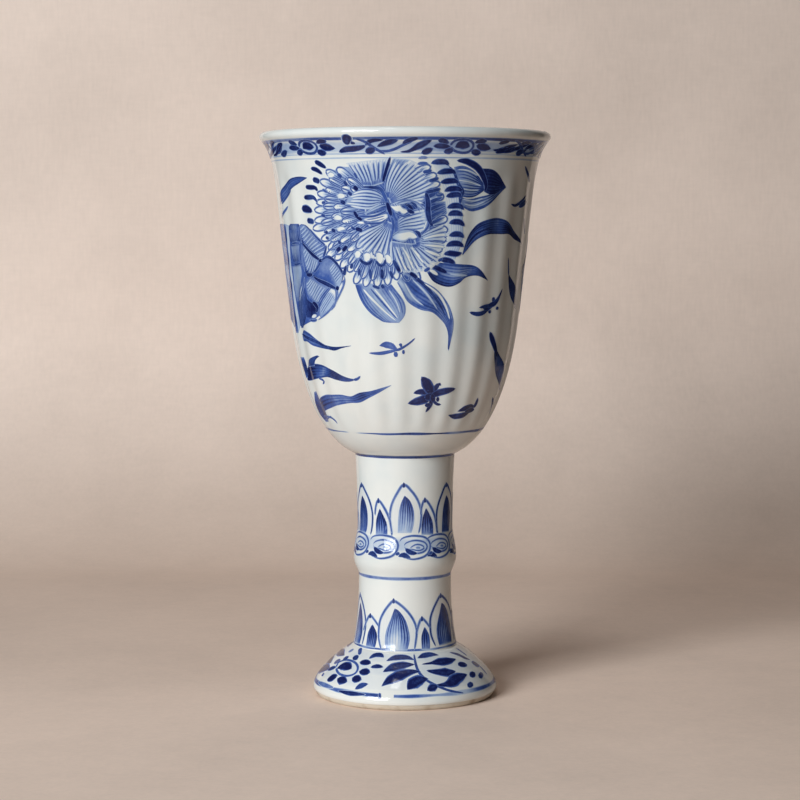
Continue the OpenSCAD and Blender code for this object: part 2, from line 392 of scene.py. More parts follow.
def paper(colours):
    """Plain pale backdrop paper with painted light and shade: lighter up the wall and to the left, darker
    along its fold.
    """
    material, nodes = new_material("paper")
    place, noise = textures(nodes)

    def along(axis, low, high):
        """A smooth step along an axis, between two places in metres."""
        return nodes.node("SeparateXYZ", inputs={"Vector": place}, out=axis).step(low, high)

    # The backdrop colour made lighter or darker, for painted light and shade
    def shade(amount):
        return tuple(amount * part for part in colours.backdrop[:3]) + (1,)

    def threads(*pull):
        """Noise drawn out one way, as threads are."""
        drawn = nodes.node("VectorMath", {"operation": "MULTIPLY"}, {0: place, 1: pull})
        return nodes.node("TexNoise", inputs={"Vector": drawn, "Scale": 1.0, "Detail": 2})

    # Painted light: the wall is lighter higher up, and darker low down along the fold as painted shade
    wall = along("Z", -0.04, 0.09).mix(shade(1.0), tuple(colours.backdrop_painted_light))
    # Painted light: the floor is lighter in front than towards the wall
    floor = along("Y", -0.1, 0.2).mix(shade(1.54), shade(1.3))
    base = along("Y", 0.2, 0.29).mix(floor, wall)
    # Painted shade: darker to the right towards the back
    aside = along("X", -0.16, 0.16) * along("Y", 0.1, 0.29)
    cloudy = 0.13 * noise(14, 6).step(0.35, 0.75) + 0.1 * noise(70, 3) + 0.08 * noise(300, 4)
    weave = 0.14 * threads(800, 800, 150) + 0.08 * threads(150, 150, 800)
    # The paper's mottle and weave, with the painted shade to the right
    mottle_and_painted_shade = 0.18 * aside + cloudy + weave - 0.16
    surface(nodes, base_color=mottle_and_painted_shade.mix(base, shade(0.55)), roughness=0.9)
    return material


# Turned sections
def finish_piece(name, bm, material, slot, *nodes):
    """Makes a bmesh into a piece of the cup that rides on its body and stands for CAD nodes."""
    mesh = bpy.data.meshes.new(name)
    bm.to_mesh(mesh)
    bm.free()
    piece = bpy.data.objects.new(name, mesh)
    bpy.context.scene.collection.objects.link(piece)
    mesh.materials.append(material)
    mesh.shade_smooth()
    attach(piece, "root")
    if nodes:
        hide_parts(*nodes)
    return piece


def spun(outline, steps):
    """A bmesh of a closed outline of (radius, height) in mm, turned about the cup's axis."""
    bm = bmesh.new()
    corners = [bm.verts.new((r * MM, 0, z * MM)) for r, z in outline]
    loop = corners if outline[0][0] == 0 else corners + corners[:1]
    edges = [bm.edges.new(pair) for pair in zip(loop, loop[1:])]
    turned = {"cent": (0, 0, 0), "axis": (0, 0, 1), "angle": math.tau, "steps": steps, "use_merge": True}
    bmesh.ops.spin(bm, geom=corners + edges, **turned)
    bmesh.ops.remove_doubles(bm, verts=bm.verts, dist=1e-7)
    bmesh.ops.recalc_face_normals(bm, faces=bm.faces)
    return bm


def angle_of(co):
    """The angle of a point round the axis, from the side that the camera faces."""
    return math.atan2(co.x, -co.y)


class STEMCUP_OT_bowl(bpy.types.Operator):
    """Turns the bowl, with its flared lip, and presses the flutes into its wall"""

    bl_idname = "stem_cup.bowl"
    bl_label = "Bowl"

    def execute(self, context):
        sizes, colours = context.scene.stem_cup_sizes, context.scene.stem_cup_colours
        bm = spun([(0.0, BOWL_JOINT)] + BOWL_OUTLINE + BOWL_INSIDE, sizes.turn_steps)
        outline = Skin(sizes).outline
        for vert in bm.verts:
            radius = math.hypot(vert.co.x, vert.co.y)
            height = vert.co.z / MM
            if radius / MM > outline(height)[0] - FLUTE_REACH:
                grown = 1 + flute(sizes, angle_of(vert.co), height)[0] * MM / radius
                vert.co.x, vert.co.y = vert.co.x * grown, vert.co.y * grown
        nodes = ("bowl", "bowl_glaze", "bowl_lining", "bowl_luting")
        bowl = finish_piece("bowl", bm, painted_glaze(colours), "glaze", *nodes)
        bowl.data.set_sharp_from_angle(angle=SHARP_EDGE)
        return {"FINISHED"}


class STEMCUP_OT_stem(bpy.types.Operator):
    """Turns the two hollow lengths of the stem, with the knop on the upper one"""

    bl_idname = "stem_cup.stem"
    bl_label = "Stem"

    def execute(self, context):
        sizes, colours = context.scene.stem_cup_sizes, context.scene.stem_cup_colours
        bore = [(0.0, BORE_STOP), (BORE_R, BORE_STOP), (BORE_R, KNOP_JOINT)]
        upper = bore + UPPER_STEM_OUTLINE + [(0.0, BOWL_JOINT)]
        lower = [(BORE_R, KNOP_JOINT), (BORE_R, FOOT_JOINT)] + LOWER_STEM_OUTLINE
        lengths = (("upper_stem", upper, "knop_luting"), ("lower_stem", lower, "foot_luting"))
        for name, outline, luting in lengths:
            bm = spun(outline, sizes.turn_steps // 2)
            piece = finish_piece(name, bm, painted_glaze(colours), "glaze", name, name + "_glaze", luting)
            piece.data.set_sharp_from_angle(angle=SHARP_EDGE)
        return {"FINISHED"}


class STEMCUP_OT_foot(bpy.types.Operator):
    """Turns the domed foot with its glazed hollow, and the bare ring that it stands on"""

    bl_idname = "stem_cup.foot"
    bl_label = "Foot"

    def execute(self, context):
        sizes, colours = context.scene.stem_cup_sizes, context.scene.stem_cup_colours
        edge = run((24.47, GLAZE_STOP), ((24.62, 1.62), (24.7, 1.9), (24.7, 2.3)))
        hollow = run((BORE_R, 9.6), ((14.2, 9.0), (21.0, 4.5), (21.0, GLAZE_STOP)))
        bm = spun(edge + FOOT_OUTLINE[1:] + [(BORE_R, FOOT_JOINT)] + hollow, sizes.turn_steps)
        nodes = ("foot", "foot_glaze", "underside_glaze")
        foot = finish_piece("foot", bm, painted_glaze(colours), "glaze", *nodes)
        foot.data.set_sharp_from_angle(angle=SHARP_EDGE)
        ring = [(21.15, GLAZE_STOP + 0.2), (21.0, 0.35), (21.35, 0.0), (23.3, 0.0)]
        ring += run((FOOT_RING_R, 0.1), ((24.05, 0.45), (24.25, 0.9), (24.32, GLAZE_STOP + 0.2)))
        bm = spun(ring, sizes.turn_steps)
        bare = finish_piece("foot_ring", bm, bare_porcelain(colours), "porcelain", "foot")
        bare.data.set_sharp_from_angle(angle=RING_EDGE)
        return {"FINISHED"}


# Brush work: a pixel in mm, a slab's depth, the step between layers, and the gap that is welded
PIXEL_MM = 0.2514
SINK = 0.04 * MM
LEVEL = 0.012 * MM
WELD = 0.003 * MM
# Lengths of faces along a stroke, a wash and a ring, and the width under which a stroke is thin, in mm
STROKE_FACE, WASH_FACE, RING_FACE = 0.6, 0.55, 0.7
THIN_STROKE = 0.55
# Widths of slabs against their strokes, so that their edges fade
THIN_SPREAD, BROAD_SPREAD, RING_SPREAD = 1.65, 1.35, 1.3
# Places across a wash from its edge, at most a share of it, and the width of its columns, in mm
WASH_RIM, WASH_LINE, WASH_INSIDE, WASH_SHARE = 0.1, 0.38, 0.5, 0.12
WASH_COLUMN = 0.26
# A narrow petal, as shares of its length and width
FINGER_SHAPE = ((0, 0.5), (0.35, 0.8), (0.7, 1.0), (0.9, 0.75), (1, 0))


def blend(values, t):
    """A value between evenly spaced ones, or the value itself."""
    if not isinstance(values, (tuple, list)):
        return values
    place = min(max(t, 0.0), 1.0) * (len(values) - 1)
    i = min(int(place), len(values) - 2)
    return values[i] + (values[i + 1] - values[i]) * (place - i)


def through(points, per=5):
    """A smooth line through points of a picture."""
    if len(points) == 2:
        return [tuple(a + (b - a) * i / per for a, b in zip(*points)) for i in range(per + 1)]
    ends = [points[0], *points, points[-1]]
    made = []
    for a, b, c, d in zip(ends, ends[1:], ends[2:], ends[3:]):
        for i in range(per):
            t = i / per
            k = (-t + 2 * t * t - t**3, 2 - 5 * t * t + 3 * t**3, t + 4 * t * t - 3 * t**3, t**3 - t * t)
            made.append(tuple(sum(w * q for w, q in zip(k, part)) / 2 for part in zip(a, b, c, d)))
    return made + [points[-1]]


def waver(rng):
    """A soft, uneven wave round the axis, from about -1 to 1."""
    parts = [(k, rng.uniform(0, math.tau), rng.uniform(0.3, 0.6)) for k in (2, 5, 9, 14)]
    return lambda angle: sum(size * math.sin(k * angle + start) for k, start, size in parts)


class Line:
    """A line on the glaze through (angle, height) spots, measured in mm."""

    def __init__(self, skin, spots):
        self.skin, self.spots, self.reach = skin, spots, [0.0]
        for (a, b), (c, d) in zip(spots, spots[1:]):
            round_, up = skin.metric((b + d) / 2)
            self.reach.append(self.reach[-1] + math.hypot((c - a) * round_, (d - b) * up))
        self.length = self.reach[-1]

    def at(self, t, aside=0.0):
        """The spot at a share of the length, and so many mm to the left of the line."""
        goal = t * self.length
        i = min(max(bisect.bisect_right(self.reach, goal), 1), len(self.reach) - 1)
        (a, b), (c, d) = self.spots[i - 1], self.spots[i]
        share = (goal - self.reach[i - 1]) / max(self.reach[i] - self.reach[i - 1], 1e-9)
        angle, height = a + (c - a) * share, b + (d - b) * share
        if aside:
            a, b = self.spots[max(i - 2, 0)]
            c, d = self.spots[min(i + 1, len(self.spots) - 1)]
            round_, up = self.skin.metric(height)
            x, y = (c - a) * round_, (d - b) * up
            size = max(math.hypot(x, y), 1e-9)
            angle, height = angle - aside * y / size / round_, height + aside * x / size / up
        return angle, height


class Brush:
    """Paints one piece with washes and strokes, each a thin slab of a cobalt tone that follows the glaze."""

    def __init__(self, sizes, seed):
        self.skin = Skin(sizes)
        self.lift = sizes.paint_lift
        self.rng = random.Random(seed)
        self.bm = bmesh.new()
        self.scratch = bpy.data.meshes.new("scratch")
        self.turn()

    def turn(self, about=0.0, to=0.0, stretch=1.0, rise=0.0):
        """Moves what comes next from one angle to another, in degrees, stretched, and up by a rise in mm."""
        self.about, self.to, self.stretch, self.rise = math.radians(about), math.radians(to), stretch, rise

    def spots(self, pixels, per=5):
        """The spots of a smooth line through pixels of the photograph, turned to their place."""
        found = [self.skin.spot(x, y) for x, y in through(pixels, per)]
        turned = [self.to + (angle - self.about) * self.stretch for angle, _ in found]
        return [(angle, height + self.rise) for angle, (_, height) in zip(turned, found)]

    def patch(self, stations, rows, spot, tone, level):
        """One slab: u goes across its stations and v along it, both from 0 to 1."""
        sheet = bmesh.new()
        ink = sheet.verts.layers.float.new("tone")
        facing = sheet.verts.layers.float_vector.new("facing")
        columns = len(stations) - 1
        bmesh.ops.create_grid(sheet, x_segments=columns, y_segments=rows, size=1.0)
        for vert in sheet.verts:
            u, v = stations[round((vert.co.x + 1) / 2 * columns)], (vert.co.y + 1) / 2
            place, normal = self.skin.at(*spot(u, v))
            vert.co = place - normal * SINK
            vert[ink], vert[facing] = tone(u, v), normal
        bmesh.ops.remove_doubles(sheet, verts=sheet.verts, dist=WELD)
        raised = bmesh.ops.extrude_face_region(sheet, geom=sheet.faces[:], use_keep_orig=True)["geom"]
        for vert in raised:
            if isinstance(vert, bmesh.types.BMVert):
                vert.co += vert[facing] * (SINK + self.lift + level * LEVEL)
        bmesh.ops.recalc_face_normals(sheet, faces=sheet.faces)
        sheet.to_mesh(self.scratch)
        sheet.free()
        self.bm.from_mesh(self.scratch)

    def stroke(self, pixels, width, tone, level=3, under=0.0, ends=3):
        """A brush stroke: widths and tones run from its start to its end, and its ends are round."""
        self.draw(self.spots(pixels), width, tone, level, under, ends)

    def draw(self, spots, width, tone, level=3, under=0.0, ends=3):
        """A brush stroke along spots of the glaze, with widths in pixels."""
        line = Line(self.skin, spots)
        widest = PIXEL_MM * (max(width) if isinstance(width, tuple) else width)
        thin = widest < THIN_STROKE
        stations = (0, 0.5, 1) if thin else (0, 0.2, 0.5, 0.8, 1)
        full = PIXEL_MM * (THIN_SPREAD if thin else BROAD_SPREAD)

        def spot(u, v):
            half = blend(width, v) * full * math.sqrt(max(0.0, 1 - abs(2 * v - 1) ** ends))
            return line.at(v, (u - 0.5) * half)

        def ink(u, v):
            if u in (0, 1) or v in (0, 1):
                return under
            return blend(tone, v) * (1 if thin or u != 0.5 else 0.92)

        self.patch(stations, max(6, math.ceil(line.length / STROKE_FACE)), spot, ink, level)

    def strokes(self, drawn, level=3, under=0.0, bold=1.0):
        """Strokes that each list their pixels, then their width and tone, and lie one over the other."""
        for i, (*pixels, width, tone) in enumerate(drawn):
            wide = tuple(bold * size for size in width) if isinstance(width, tuple) else bold * width
            self.stroke(pixels, wide, tone, level + 0.4 * (i % 5), under)

    def hatch(self, left, right, count, width=1.6, tone=0.76, level=4.5, under=0.25, reach=(0.15, 0.97)):
        """Fine lines between two edges of a petal, from base to tip, dark and pale by turns."""
        a, b = (Line(self.skin, self.spots(side)) for side in (left, right))
        for i in range(2 * count):
            share = (i / 2 + 0.35 + self.rng.uniform(-0.1, 0.1)) / count
            far = reach[1] * self.rng.uniform(0.9, 1.04)
            ends = [reach[0] + (far - reach[0]) * k / 8 for k in range(9)]
            pairs = [(a.at(t), b.at(t)) for t in ends]
            spots = [tuple(p + (q - p) * share for p, q in zip(*pair)) for pair in pairs]
            if i % 2:
                self.draw(spots, (0.4 * width, 0.75 * width, width), (0.25, 0.14, 0.02), level + 0.6, 0.2)
            else:
                self.draw(spots, (0.6 * width, width, 0.8 * width), (tone, tone, tone * 0.7), level, under)

    def across(self, left, right, count, level=3, under=0.25):
        """Fine lines from the left edge of a petal to its right one, dark and pale by turns."""
        a, b = (Line(self.skin, self.spots(side)) for side in (left, right))
        for i in range(2 * count):
            t = (i / 2 + 1 + self.rng.uniform(-0.1, 0.1)) / (count + 1)
            pair = a.at(t), b.at(t)
            spots = [tuple(p + (q - p) * (0.1 + 0.8 * k / 5) for p, q in zip(*pair)) for k in range(6)]
            self.draw(spots, 0.9, 0.18 if i % 2 else 0.6, level + 0.5 * (i % 2), under)

    def finger(self, base, tip, width, tone, level):
        """A narrow petal: a streaky wash that ends in a white, rounded tip with a fine outline."""
        away = [b - a for a, b in zip(base, tip)]
        size = math.hypot(*away)
        aside = -away[1] / size, away[0] / size
        edges = [[], []]
        for t, share in FINGER_SHAPE:
            for edge, half in zip(edges, (width / 2, -width / 2)):
                edge.append(tuple(a + d * t + n * half * share for a, d, n in zip(base, away, aside)))
        tones = tone, tone, 0.9 * tone, 0.45 * tone, 0.0, 0.0
        self.leaf(*edges, tones, streaks=0.9, level=level)
        around = edges[0] + edges[1][-2::-1]
        self.stroke(around, width=1.3, tone=0.74, level=level + 1, under=0.2, ends=12)

    def ring(self, height, width, tone, uneven=0.3, under=0.0, level=0, first=0.0, last=360.0):
        """A painted line round the cup, a little uneven, between angles in degrees."""
        bob, swell, fade = (waver(self.rng) for _ in range(3))
        radius, up = self.skin.metric(height)
        stations = (0, 0.25, 0.5, 0.75, 1)

        def turn(v):
            return math.radians(first + v * (last - first))

        def spot(u, v):
            half = width * PIXEL_MM * (1 + 0.5 * uneven * swell(turn(v)))
            return turn(v), height + (0.12 * uneven * bob(turn(v)) + (u - 0.5) * RING_SPREAD * half) / up

        def ink(u, v):
            return under if u in (0, 1) else tone * (1 + uneven * fade(turn(v)))

        self.patch(stations, math.ceil(radius * math.tau / RING_FACE), spot, ink, level)

    def leaf(self, left, right, tones, outline=0.0, streaks=0.0, level=1, under=0.0):
        """A wash between two edges from base to tip: tones by rows, streaks along it, a darker outline."""
        sides = [Line(self.skin, self.spots(edge)) for edge in (left, right)]
        a, b = sides[0].at(0.55), sides[1].at(0.55)
        round_, up = self.skin.metric((a[1] + b[1]) / 2)
        breadth = max(0.6, math.hypot((b[0] - a[0]) * round_, (b[1] - a[1]) * up))
        places = WASH_RIM, WASH_LINE, WASH_INSIDE
        rim, line, inside = (min(WASH_SHARE, mm / breadth) for mm in places)
        count = max(3, round(breadth / WASH_COLUMN))
        inner = [inside + (1 - 2 * inside) * i / count for i in range(count + 1)]
        stations = [0.0, rim, line, *inner, 1 - line, 1 - rim, 1.0]
        lines = {u: self.rng.uniform(0.5, 1.0) * math.cos(i * math.tau / 3) for i, u in enumerate(stations)}
        outlined = {rim, line, 1 - line, 1 - rim}

        def spot(u, v):
            (a, b), (c, d) = sides[0].at(v), sides[1].at(v)
            return a + (c - a) * u, b + (d - b) * u

        def ink(u, v):
            if u in (0, 1) or v in (0, 1):
                return under
            rows = [blend(row, u) for row in tones] if isinstance(tones[0], tuple) else tones
            tone = blend(rows, v) * (1 + streaks * lines[u] * ease(0.0, 0.3, v))
            return max(tone, outline) if u in outlined else tone

        rows = max(6, math.ceil(max(side.length for side in sides) / WASH_FACE))
        self.patch(stations, rows, spot, ink, level)

    def finish(self, name, material):
        """Makes what was painted into a piece, which shades as the glaze under it does."""
        bpy.data.meshes.remove(self.scratch)
        piece = finish_piece(name, self.bm, material, "glaze")
        facing = piece.data.attributes["facing"]
        piece.data.normals_split_custom_set_from_vertices([item.vector[:] for item in facing.data])
        piece.data.attributes.remove(piece.data.attributes["facing"])


# Painted lines round the cup: pixel row at the front, width in pixels, tone, unevenness and edge tone
AXIS_PX = 405
RING_LINES = (
    (138.0, 4.0, 0.6, 0.3, 0.0),
    (153.2, 1.5, 0.2, 0.3, 0.0),
    (157.4, 1.5, 0.2, 0.3, 0.0),
    (434.2, 2.5, 0.55, 0.7, 0.0),
    (457.2, 3.8, 0.74, 0.1, 0.66),
    (579.0, 3.4, 0.46, 0.15, 0.0),
    (650.4, 2.2, 0.5, 0.3, 0.0),
)
# Pale bands of cobalt under the border, the eyes and the foot's spray, and the line of the foot, left bare
# over a painted highlight
RING_WASHES = (
    (146.2, 10.6, 0.2, 0.3, 0.04),
    (545.0, 13.6, 0.13, 0.2, 0.04),
    (659.0, 9.4, 0.07, 0.2, 0.05),
    (671.0, 11.6, 0.07, 0.2, 0.05),
    (684.0, 11.6, 0.07, 0.2, 0.05),
)
WASH_LEVEL = -0.8
FOOT_LINE = (696.4, 3.6, 0.5, 0.4, 0.1)
# Angles in degrees over which the foot's line is left bare, as a painted highlight
FOOT_LINE_HIGHLIGHT_GAP = (-15.6, -7.0)


class STEMCUP_OT_lines(bpy.types.Operator):
    """Paints the blue lines that ring the lip, the joints and the foot"""

    bl_idname = "stem_cup.lines"
    bl_label = "Painted lines"

    def execute(self, context):
        brush = Brush(context.scene.stem_cup_sizes, seed=11)
        for y, *drawn in RING_LINES:
            brush.ring(brush.skin.spot(AXIS_PX, y)[1], *drawn)
        for y, *drawn in RING_WASHES:
            brush.ring(brush.skin.spot(AXIS_PX, y)[1], *drawn, level=WASH_LEVEL)
        y, *drawn = FOOT_LINE
        # The foot's line stops over the painted highlight
        last, first = FOOT_LINE_HIGHLIGHT_GAP
        brush.ring(brush.skin.spot(AXIS_PX, y)[1], *drawn, first=first, last=last + 360)
        brush.finish("painted_lines", painted_glaze(context.scene.stem_cup_colours))
        return {"FINISHED"}


# Border under the lip: the rosettes' angles, then strokes as pixels with their widths and tones
ROSETTES = (-42.4, 23.2, 95.0, 167.0, 239.0)
ROSETTE_DABS = (
    ((454.6, 147.4), (460, 144.8), (465, 145), (470, 146.6), (2, 6.4, 6.8, 2.5), 1.0),
    ((437.6, 139.6), (443, 140.6), (449.4, 143.2), (4, 4.8, 2), 0.95),
    ((432.8, 146), (440, 145.8), (446, 146.2), (451, 146.6), (2.4, 4.4, 4, 1.6), 0.95),
    ((443.4, 152), (449, 150.8), (454, 149.2), (3, 4.8, 3), 0.9),
    ((474.4, 142.8), (480, 141), (487, 141.2), (2, 4.6, 3), 0.95),
    ((476, 145.4), (483, 147), (491, 148.8), (3.4, 6.4, 5, 1.6), 1.0),
    ((470.8, 150.6), (475, 152.2), (481, 152.8), (3.4, 4.8, 3.6), 0.95),
)
ROSETTE_RING = (
    (450, 146.2), (453.4, 141.6), (460, 139.4), (467, 139.6), (472.4, 142.4), (473, 147), (468.4, 151.8),
    (461, 152.6), (454, 150.4), (450, 146.2),
)
SCROLL_STROKES = (
    ((338.8, 152.2), (346, 149.4), (353, 148.8), (361.5, 147.2), (366, 145), (3.4, 4.4, 4.4, 4, 3), 0.95),
    ((365, 145.6), (369, 141.6), (375.5, 139.9), (383.4, 139.8), (3.6, 3.4, 3, 2), 0.95),
    (
        (354.4, 138.6), (360, 139.8), (366, 142.2), (370, 145), (374, 147.8), (380, 151.2), (385.4, 154.4),
        2.2, 0.75,
    ),
    ((364.8, 151.6), (369, 150.8), (376, 148.4), (4, 5.4, 3), 0.9),
    ((376.6, 146.6), (385, 143.2), (393, 141), (398.4, 139.6), (2, 4, 4.8, 3), 0.98),
    (
        (375.5, 149.2), (381, 150.9), (388, 150.9), (395, 148.8), (402, 145.4), (409, 142.4), (415, 139.6),
        2.0, 0.7,
    ),
    ((402, 144.4), (406.4, 141.2), (412.7, 138.9), (419.4, 137.8), (2.4, 3.6, 3.8, 2.4), 0.95),
    (
        (399.8, 151.8), (407.8, 151.3), (412.7, 149.2), (419.7, 145.4), (426.7, 142), (432, 140),
        (1.8, 2, 3, 5, 5, 3), 0.97,
    ),
    ((420.8, 153.2), (426.7, 151.2), (433.2, 148.2), (3, 4.8, 3), 0.97),
)
BORDER_EXTRA = (
    ((266.6, 144.4), (270, 147), (272.4, 152), (2, 2.4, 2), 0.85),
    ((270.6, 156.4), (274, 150), (278.4, 145.2), (2, 3.4, 2.4), 0.9),
    ((276.4, 153.6), (280.4, 149.4), (281.6, 146), (3, 4.4, 3), 0.95),
    ((281, 155), (284.6, 152.4), (287.6, 151), (2.4, 3.8, 2.4), 0.9),
    ((498.4, 143.6), (504, 142), (510.4, 141), (3, 4, 3), 1.0),
    ((492.4, 149.8), (499, 150.2), (507.4, 147.4), (518.2, 144.2), (2, 4, 3.6, 2), 1.0),
    ((510, 151), (516, 148.8), (523, 146.2), (529, 144.2), (2, 3.6, 3, 2), 0.97),
    ((516.8, 155), (521, 152.4), (526.8, 149.6), (2.4, 3.6, 2), 0.97),
    ((528.4, 150), (534, 147.2), (540, 144.2), (1.4, 2, 1.4), 0.85),
    ((530.4, 154.2), (537, 150.6), (542.6, 146.6), (1.2, 1.8, 1.2), 0.8),
)
DRIP = (
    ((347.2, 133.6), (346.8, 139.5), (346.6, 145.4), (8.6, 9.4, 8.6, 4.5), 1.0),
    ((350, 142.4), (353, 142.8), (355.6, 143.4), (3.6, 3, 2), 0.95),
)


class STEMCUP_OT_border(bpy.types.Operator):
    """Paints the band of rosettes and scroll strokes under the lip"""

    bl_idname = "stem_cup.border"
    bl_label = "Painted border"

    def execute(self, context):
        brush = Brush(context.scene.stem_cup_sizes, seed=23)
        for i, angle in enumerate(ROSETTES):
            brush.turn(ROSETTES[1], angle)
            brush.strokes(ROSETTE_DABS, under=0.4, bold=1.15)
            brush.stroke(ROSETTE_RING, width=2.4, tone=0.78, level=2, under=0.2, ends=40)
            after = ROSETTES[i + 1] if i + 1 < len(ROSETTES) else ROSETTES[0] + 360
            middle = (ROSETTES[0] + ROSETTES[1]) / 2
            brush.turn(middle, (angle + after) / 2, (after - angle) / (ROSETTES[1] - ROSETTES[0]))
            brush.strokes(SCROLL_STROKES, under=0.4, bold=1.15)
        brush.turn()
        brush.strokes(BORDER_EXTRA, under=0.4)
        brush.strokes(DRIP, level=5)
        brush.finish("painted_border", painted_glaze(context.scene.stem_cup_colours))
        return {"FINISHED"}


# Great flower on the bowl, from its throat outwards, in pixels of the photograph
THROAT = (388, 208)
OUTER_TIPS = (
    (326, 170.5), (319.5, 180.5), (317, 193), (316, 202), (314.5, 210), (314.5, 221), (313, 229),
    (321, 240), (327.5, 249), (326, 257), (335, 260), (341, 268), (348, 272), (354.5, 284), (364.8, 287),
    (376.5, 287.5), (387.5, 285.5), (397, 280), (408, 281), (419, 282),
)
MIDDLE_TIPS = (
    (337, 168), (345, 178.5), (341, 187), (337, 195.5), (333.5, 207), (331, 217.5), (337, 231),
    (340.5, 242.5), (347.5, 251.5), (355, 258), (365.5, 262), (380, 265.5), (390, 266.5),
)
FLOWER_GROUND = (
    (
        (340, 166), (331, 174), (325, 187), (322, 199), (321, 212), (322, 225), (327, 238), (335, 249),
        (343, 259), (353, 269), (364, 277), (381, 280), (397, 275),
    ),
    (
        (345, 167), (358, 166), (373, 165), (389, 164), (402, 165), (414, 168), (425, 177), (434, 188),
        (439, 201), (441, 214), (442, 229), (440, 241), (434, 251), (424, 258), (411, 264), (399, 274),
    ),
)
GROUND_TONES = ((0.3, 0.25, 0.2), (0.45, 0.5, 0.5), (0.5, 0.6, 0.65), (0.45, 0.55, 0.5), (0.4, 0.5, 0.4))
RIM_FINGERS = (
    ((414, 171), (430.5, 166.6), 6.5),
    ((419, 180.5), (436.5, 174.5), 7),
    ((422, 188.5), (440, 183), 6.5),
    ((430, 200), (444, 195.6), 7),
    ((432, 224), (447.6, 217.5), 8),
    ((428, 231.5), (448, 229.4), 8.5),
    ((427, 238), (446.5, 239.5), 8.5),
    ((424, 244), (442.5, 250), 8.5),
    ((420, 249), (434, 259), 8),
    ((412, 252), (424, 266), 8),
    ((404, 252), (412, 270), 8),
)
# Fans of petals: a first rib, then each next rib with the tones, streaks and fine lines before it
FANS = (
    (
        ((362, 186), (355, 175), (346, 163)),
        (((372, 186.5), (369, 174), (364, 161)), (0.55, 0.42, 0.26, 0.08), 0.9, 4),
        (((383, 183), (385.5, 172), (389, 158)), (0.55, 0.42, 0.26, 0.08), 0.9, 4),
    ),
    (
        ((387.5, 199), (384.5, 186), (387.5, 172), (393, 158)),
        (((388.5, 199), (393, 184), (401, 170), (410, 159.5)), (0.6, 0.5, 0.45, 0.3), 0.45, 3),
        (((389, 200), (402, 188), (416, 178), (429, 168.5)), (0.55, 0.35, 0.25, 0.06), 0.9, 4),
        (
            ((390, 203), (402, 200.6), (416, 197.4), (428, 193), (440, 188.4)),
            (0.55, 0.35, 0.22, 0.03), 0.9, 5,
        ),
    ),
    (
        ((414, 240), (425, 232), (437, 225), (448, 218)),
        (((415, 243), (428, 240), (439, 239.5), (450, 240)), (0.6, 0.28, 0.1, 0.03), 0.9, 4),
        (((415, 243.6), (425, 249), (434, 254.5), (443, 258)), (0.7, 0.3, 0.12, 0.03), 0.9, 3),
        (((411, 243.6), (417, 254), (424, 262.5), (431, 269)), (0.7, 0.35, 0.15, 0.05), 0.9, 3),
        (((405, 243), (408, 254), (411, 263), (415, 273)), (0.5, 0.34, 0.2, 0.1), 0.9, 3),
        (((391.5, 241), (394, 252), (398, 262), (403, 272)), (0.45, 0.42, 0.3, 0.2), 0.6, 3),
    ),
    (
        ((388, 221), (378, 224), (368, 227), (360, 231)),
        (((389, 222), (377, 232), (366, 241), (356, 249)), (0.6, 0.5, 0.35, 0.15), 0.6, 3),
        (((390, 222), (384, 235), (377, 248), (371, 258)), (0.55, 0.4, 0.25, 0.05), 0.8, 3),
        (((392, 223), (392, 236), (391.5, 248), (392, 262)), (0.55, 0.35, 0.18, 0.03), 0.8, 3),
    ),
    (
        ((430, 201), (437, 202), (446, 201)),
        (((431, 226), (439, 222), (448, 213)), (0.7, 0.55, 0.4), 0.5, 0),
    ),
)
# Petals in the middle: two edges, tones, edge tone, streaks and fine lines
INNER_PETALS = (
    (
        ((387, 203), (382, 194.5), (374, 189.4), (362, 188.8), (349, 194)),
        ((386, 205), (379, 204), (370, 209), (358, 208), (345, 205)),
        (0.6, 0.45, 0.38, 0.33, 0.25), 0.5, 0.3, 6,
    ),
    (
        ((365, 213), (373, 205.5), (381, 201.5), (387, 202)),
        ((366, 214), (375, 211.5), (383, 208.5), (388, 206.5)), (0.3, 0.25, 0.35, 0.6), 0.5, 0.8, 0,
    ),
    (
        ((357, 215), (366, 214.5), (378, 212), (387, 208)),
        ((361, 219.5), (370, 217.5), (380, 215), (388, 212)), (0.35, 0.12, 0.15, 0.3), 0.65, 0.6, 0,
    ),
    (
        ((363, 218.6), (373, 215.8), (384, 213), (387.6, 214.2)),
        ((364.2, 220.9), (373, 222.5), (383, 222.5), (388.2, 217)), (0.15, 0.0, 0.0, 0.1), 0.5, 0.0, 0,
    ),
    (
        ((394, 224), (402, 215.5), (413, 210), (426, 207)),
        ((393, 233), (405, 231), (416, 231.5), (427, 229)), (0.6, 0.42, 0.36, 0.12), 0.55, 0.55, 6,
    ),
    (
        ((390, 204), (399, 200), (412, 199.5), (424, 206)),
        ((395, 206.5), (404, 204.5), (413, 205), (426, 213)), (0.15, 0.3, 0.35, 0.15), 0.55, 0.6, 0,
    ),
    (
        ((390, 205), (394, 205.8), (399.6, 203.6), (402.4, 207.4), (406.6, 209), (408, 212)),
        ((390.5, 206), (393, 209.2), (396.6, 213), (399.4, 211.6), (402.4, 214.6), (407, 213)),
        (0.0, 0.0, 0.0, 0.0), 0.3, 0.0, 0,
    ),
    (
        ((392.6, 236.6), (398.8, 232.2), (407.7, 230.6), (413.3, 232), (417.4, 236.8)),
        ((393, 238.2), (398.8, 241), (405, 241.6), (409, 238.6), (413.3, 239.4), (417.6, 237.2)),
        (0.3, 0.1, 0.0, 0.0, 0.0), 0.25, 0.0, 0,
    ),
    (
        ((391, 204.6), (404, 201.2), (416, 198.6), (428, 193.6)),
        ((392, 206.2), (406, 202.6), (416, 202), (426, 205)), (0.6, 0.5, 0.5, 0.6), 0.5, 0.7, 2,
    ),
)
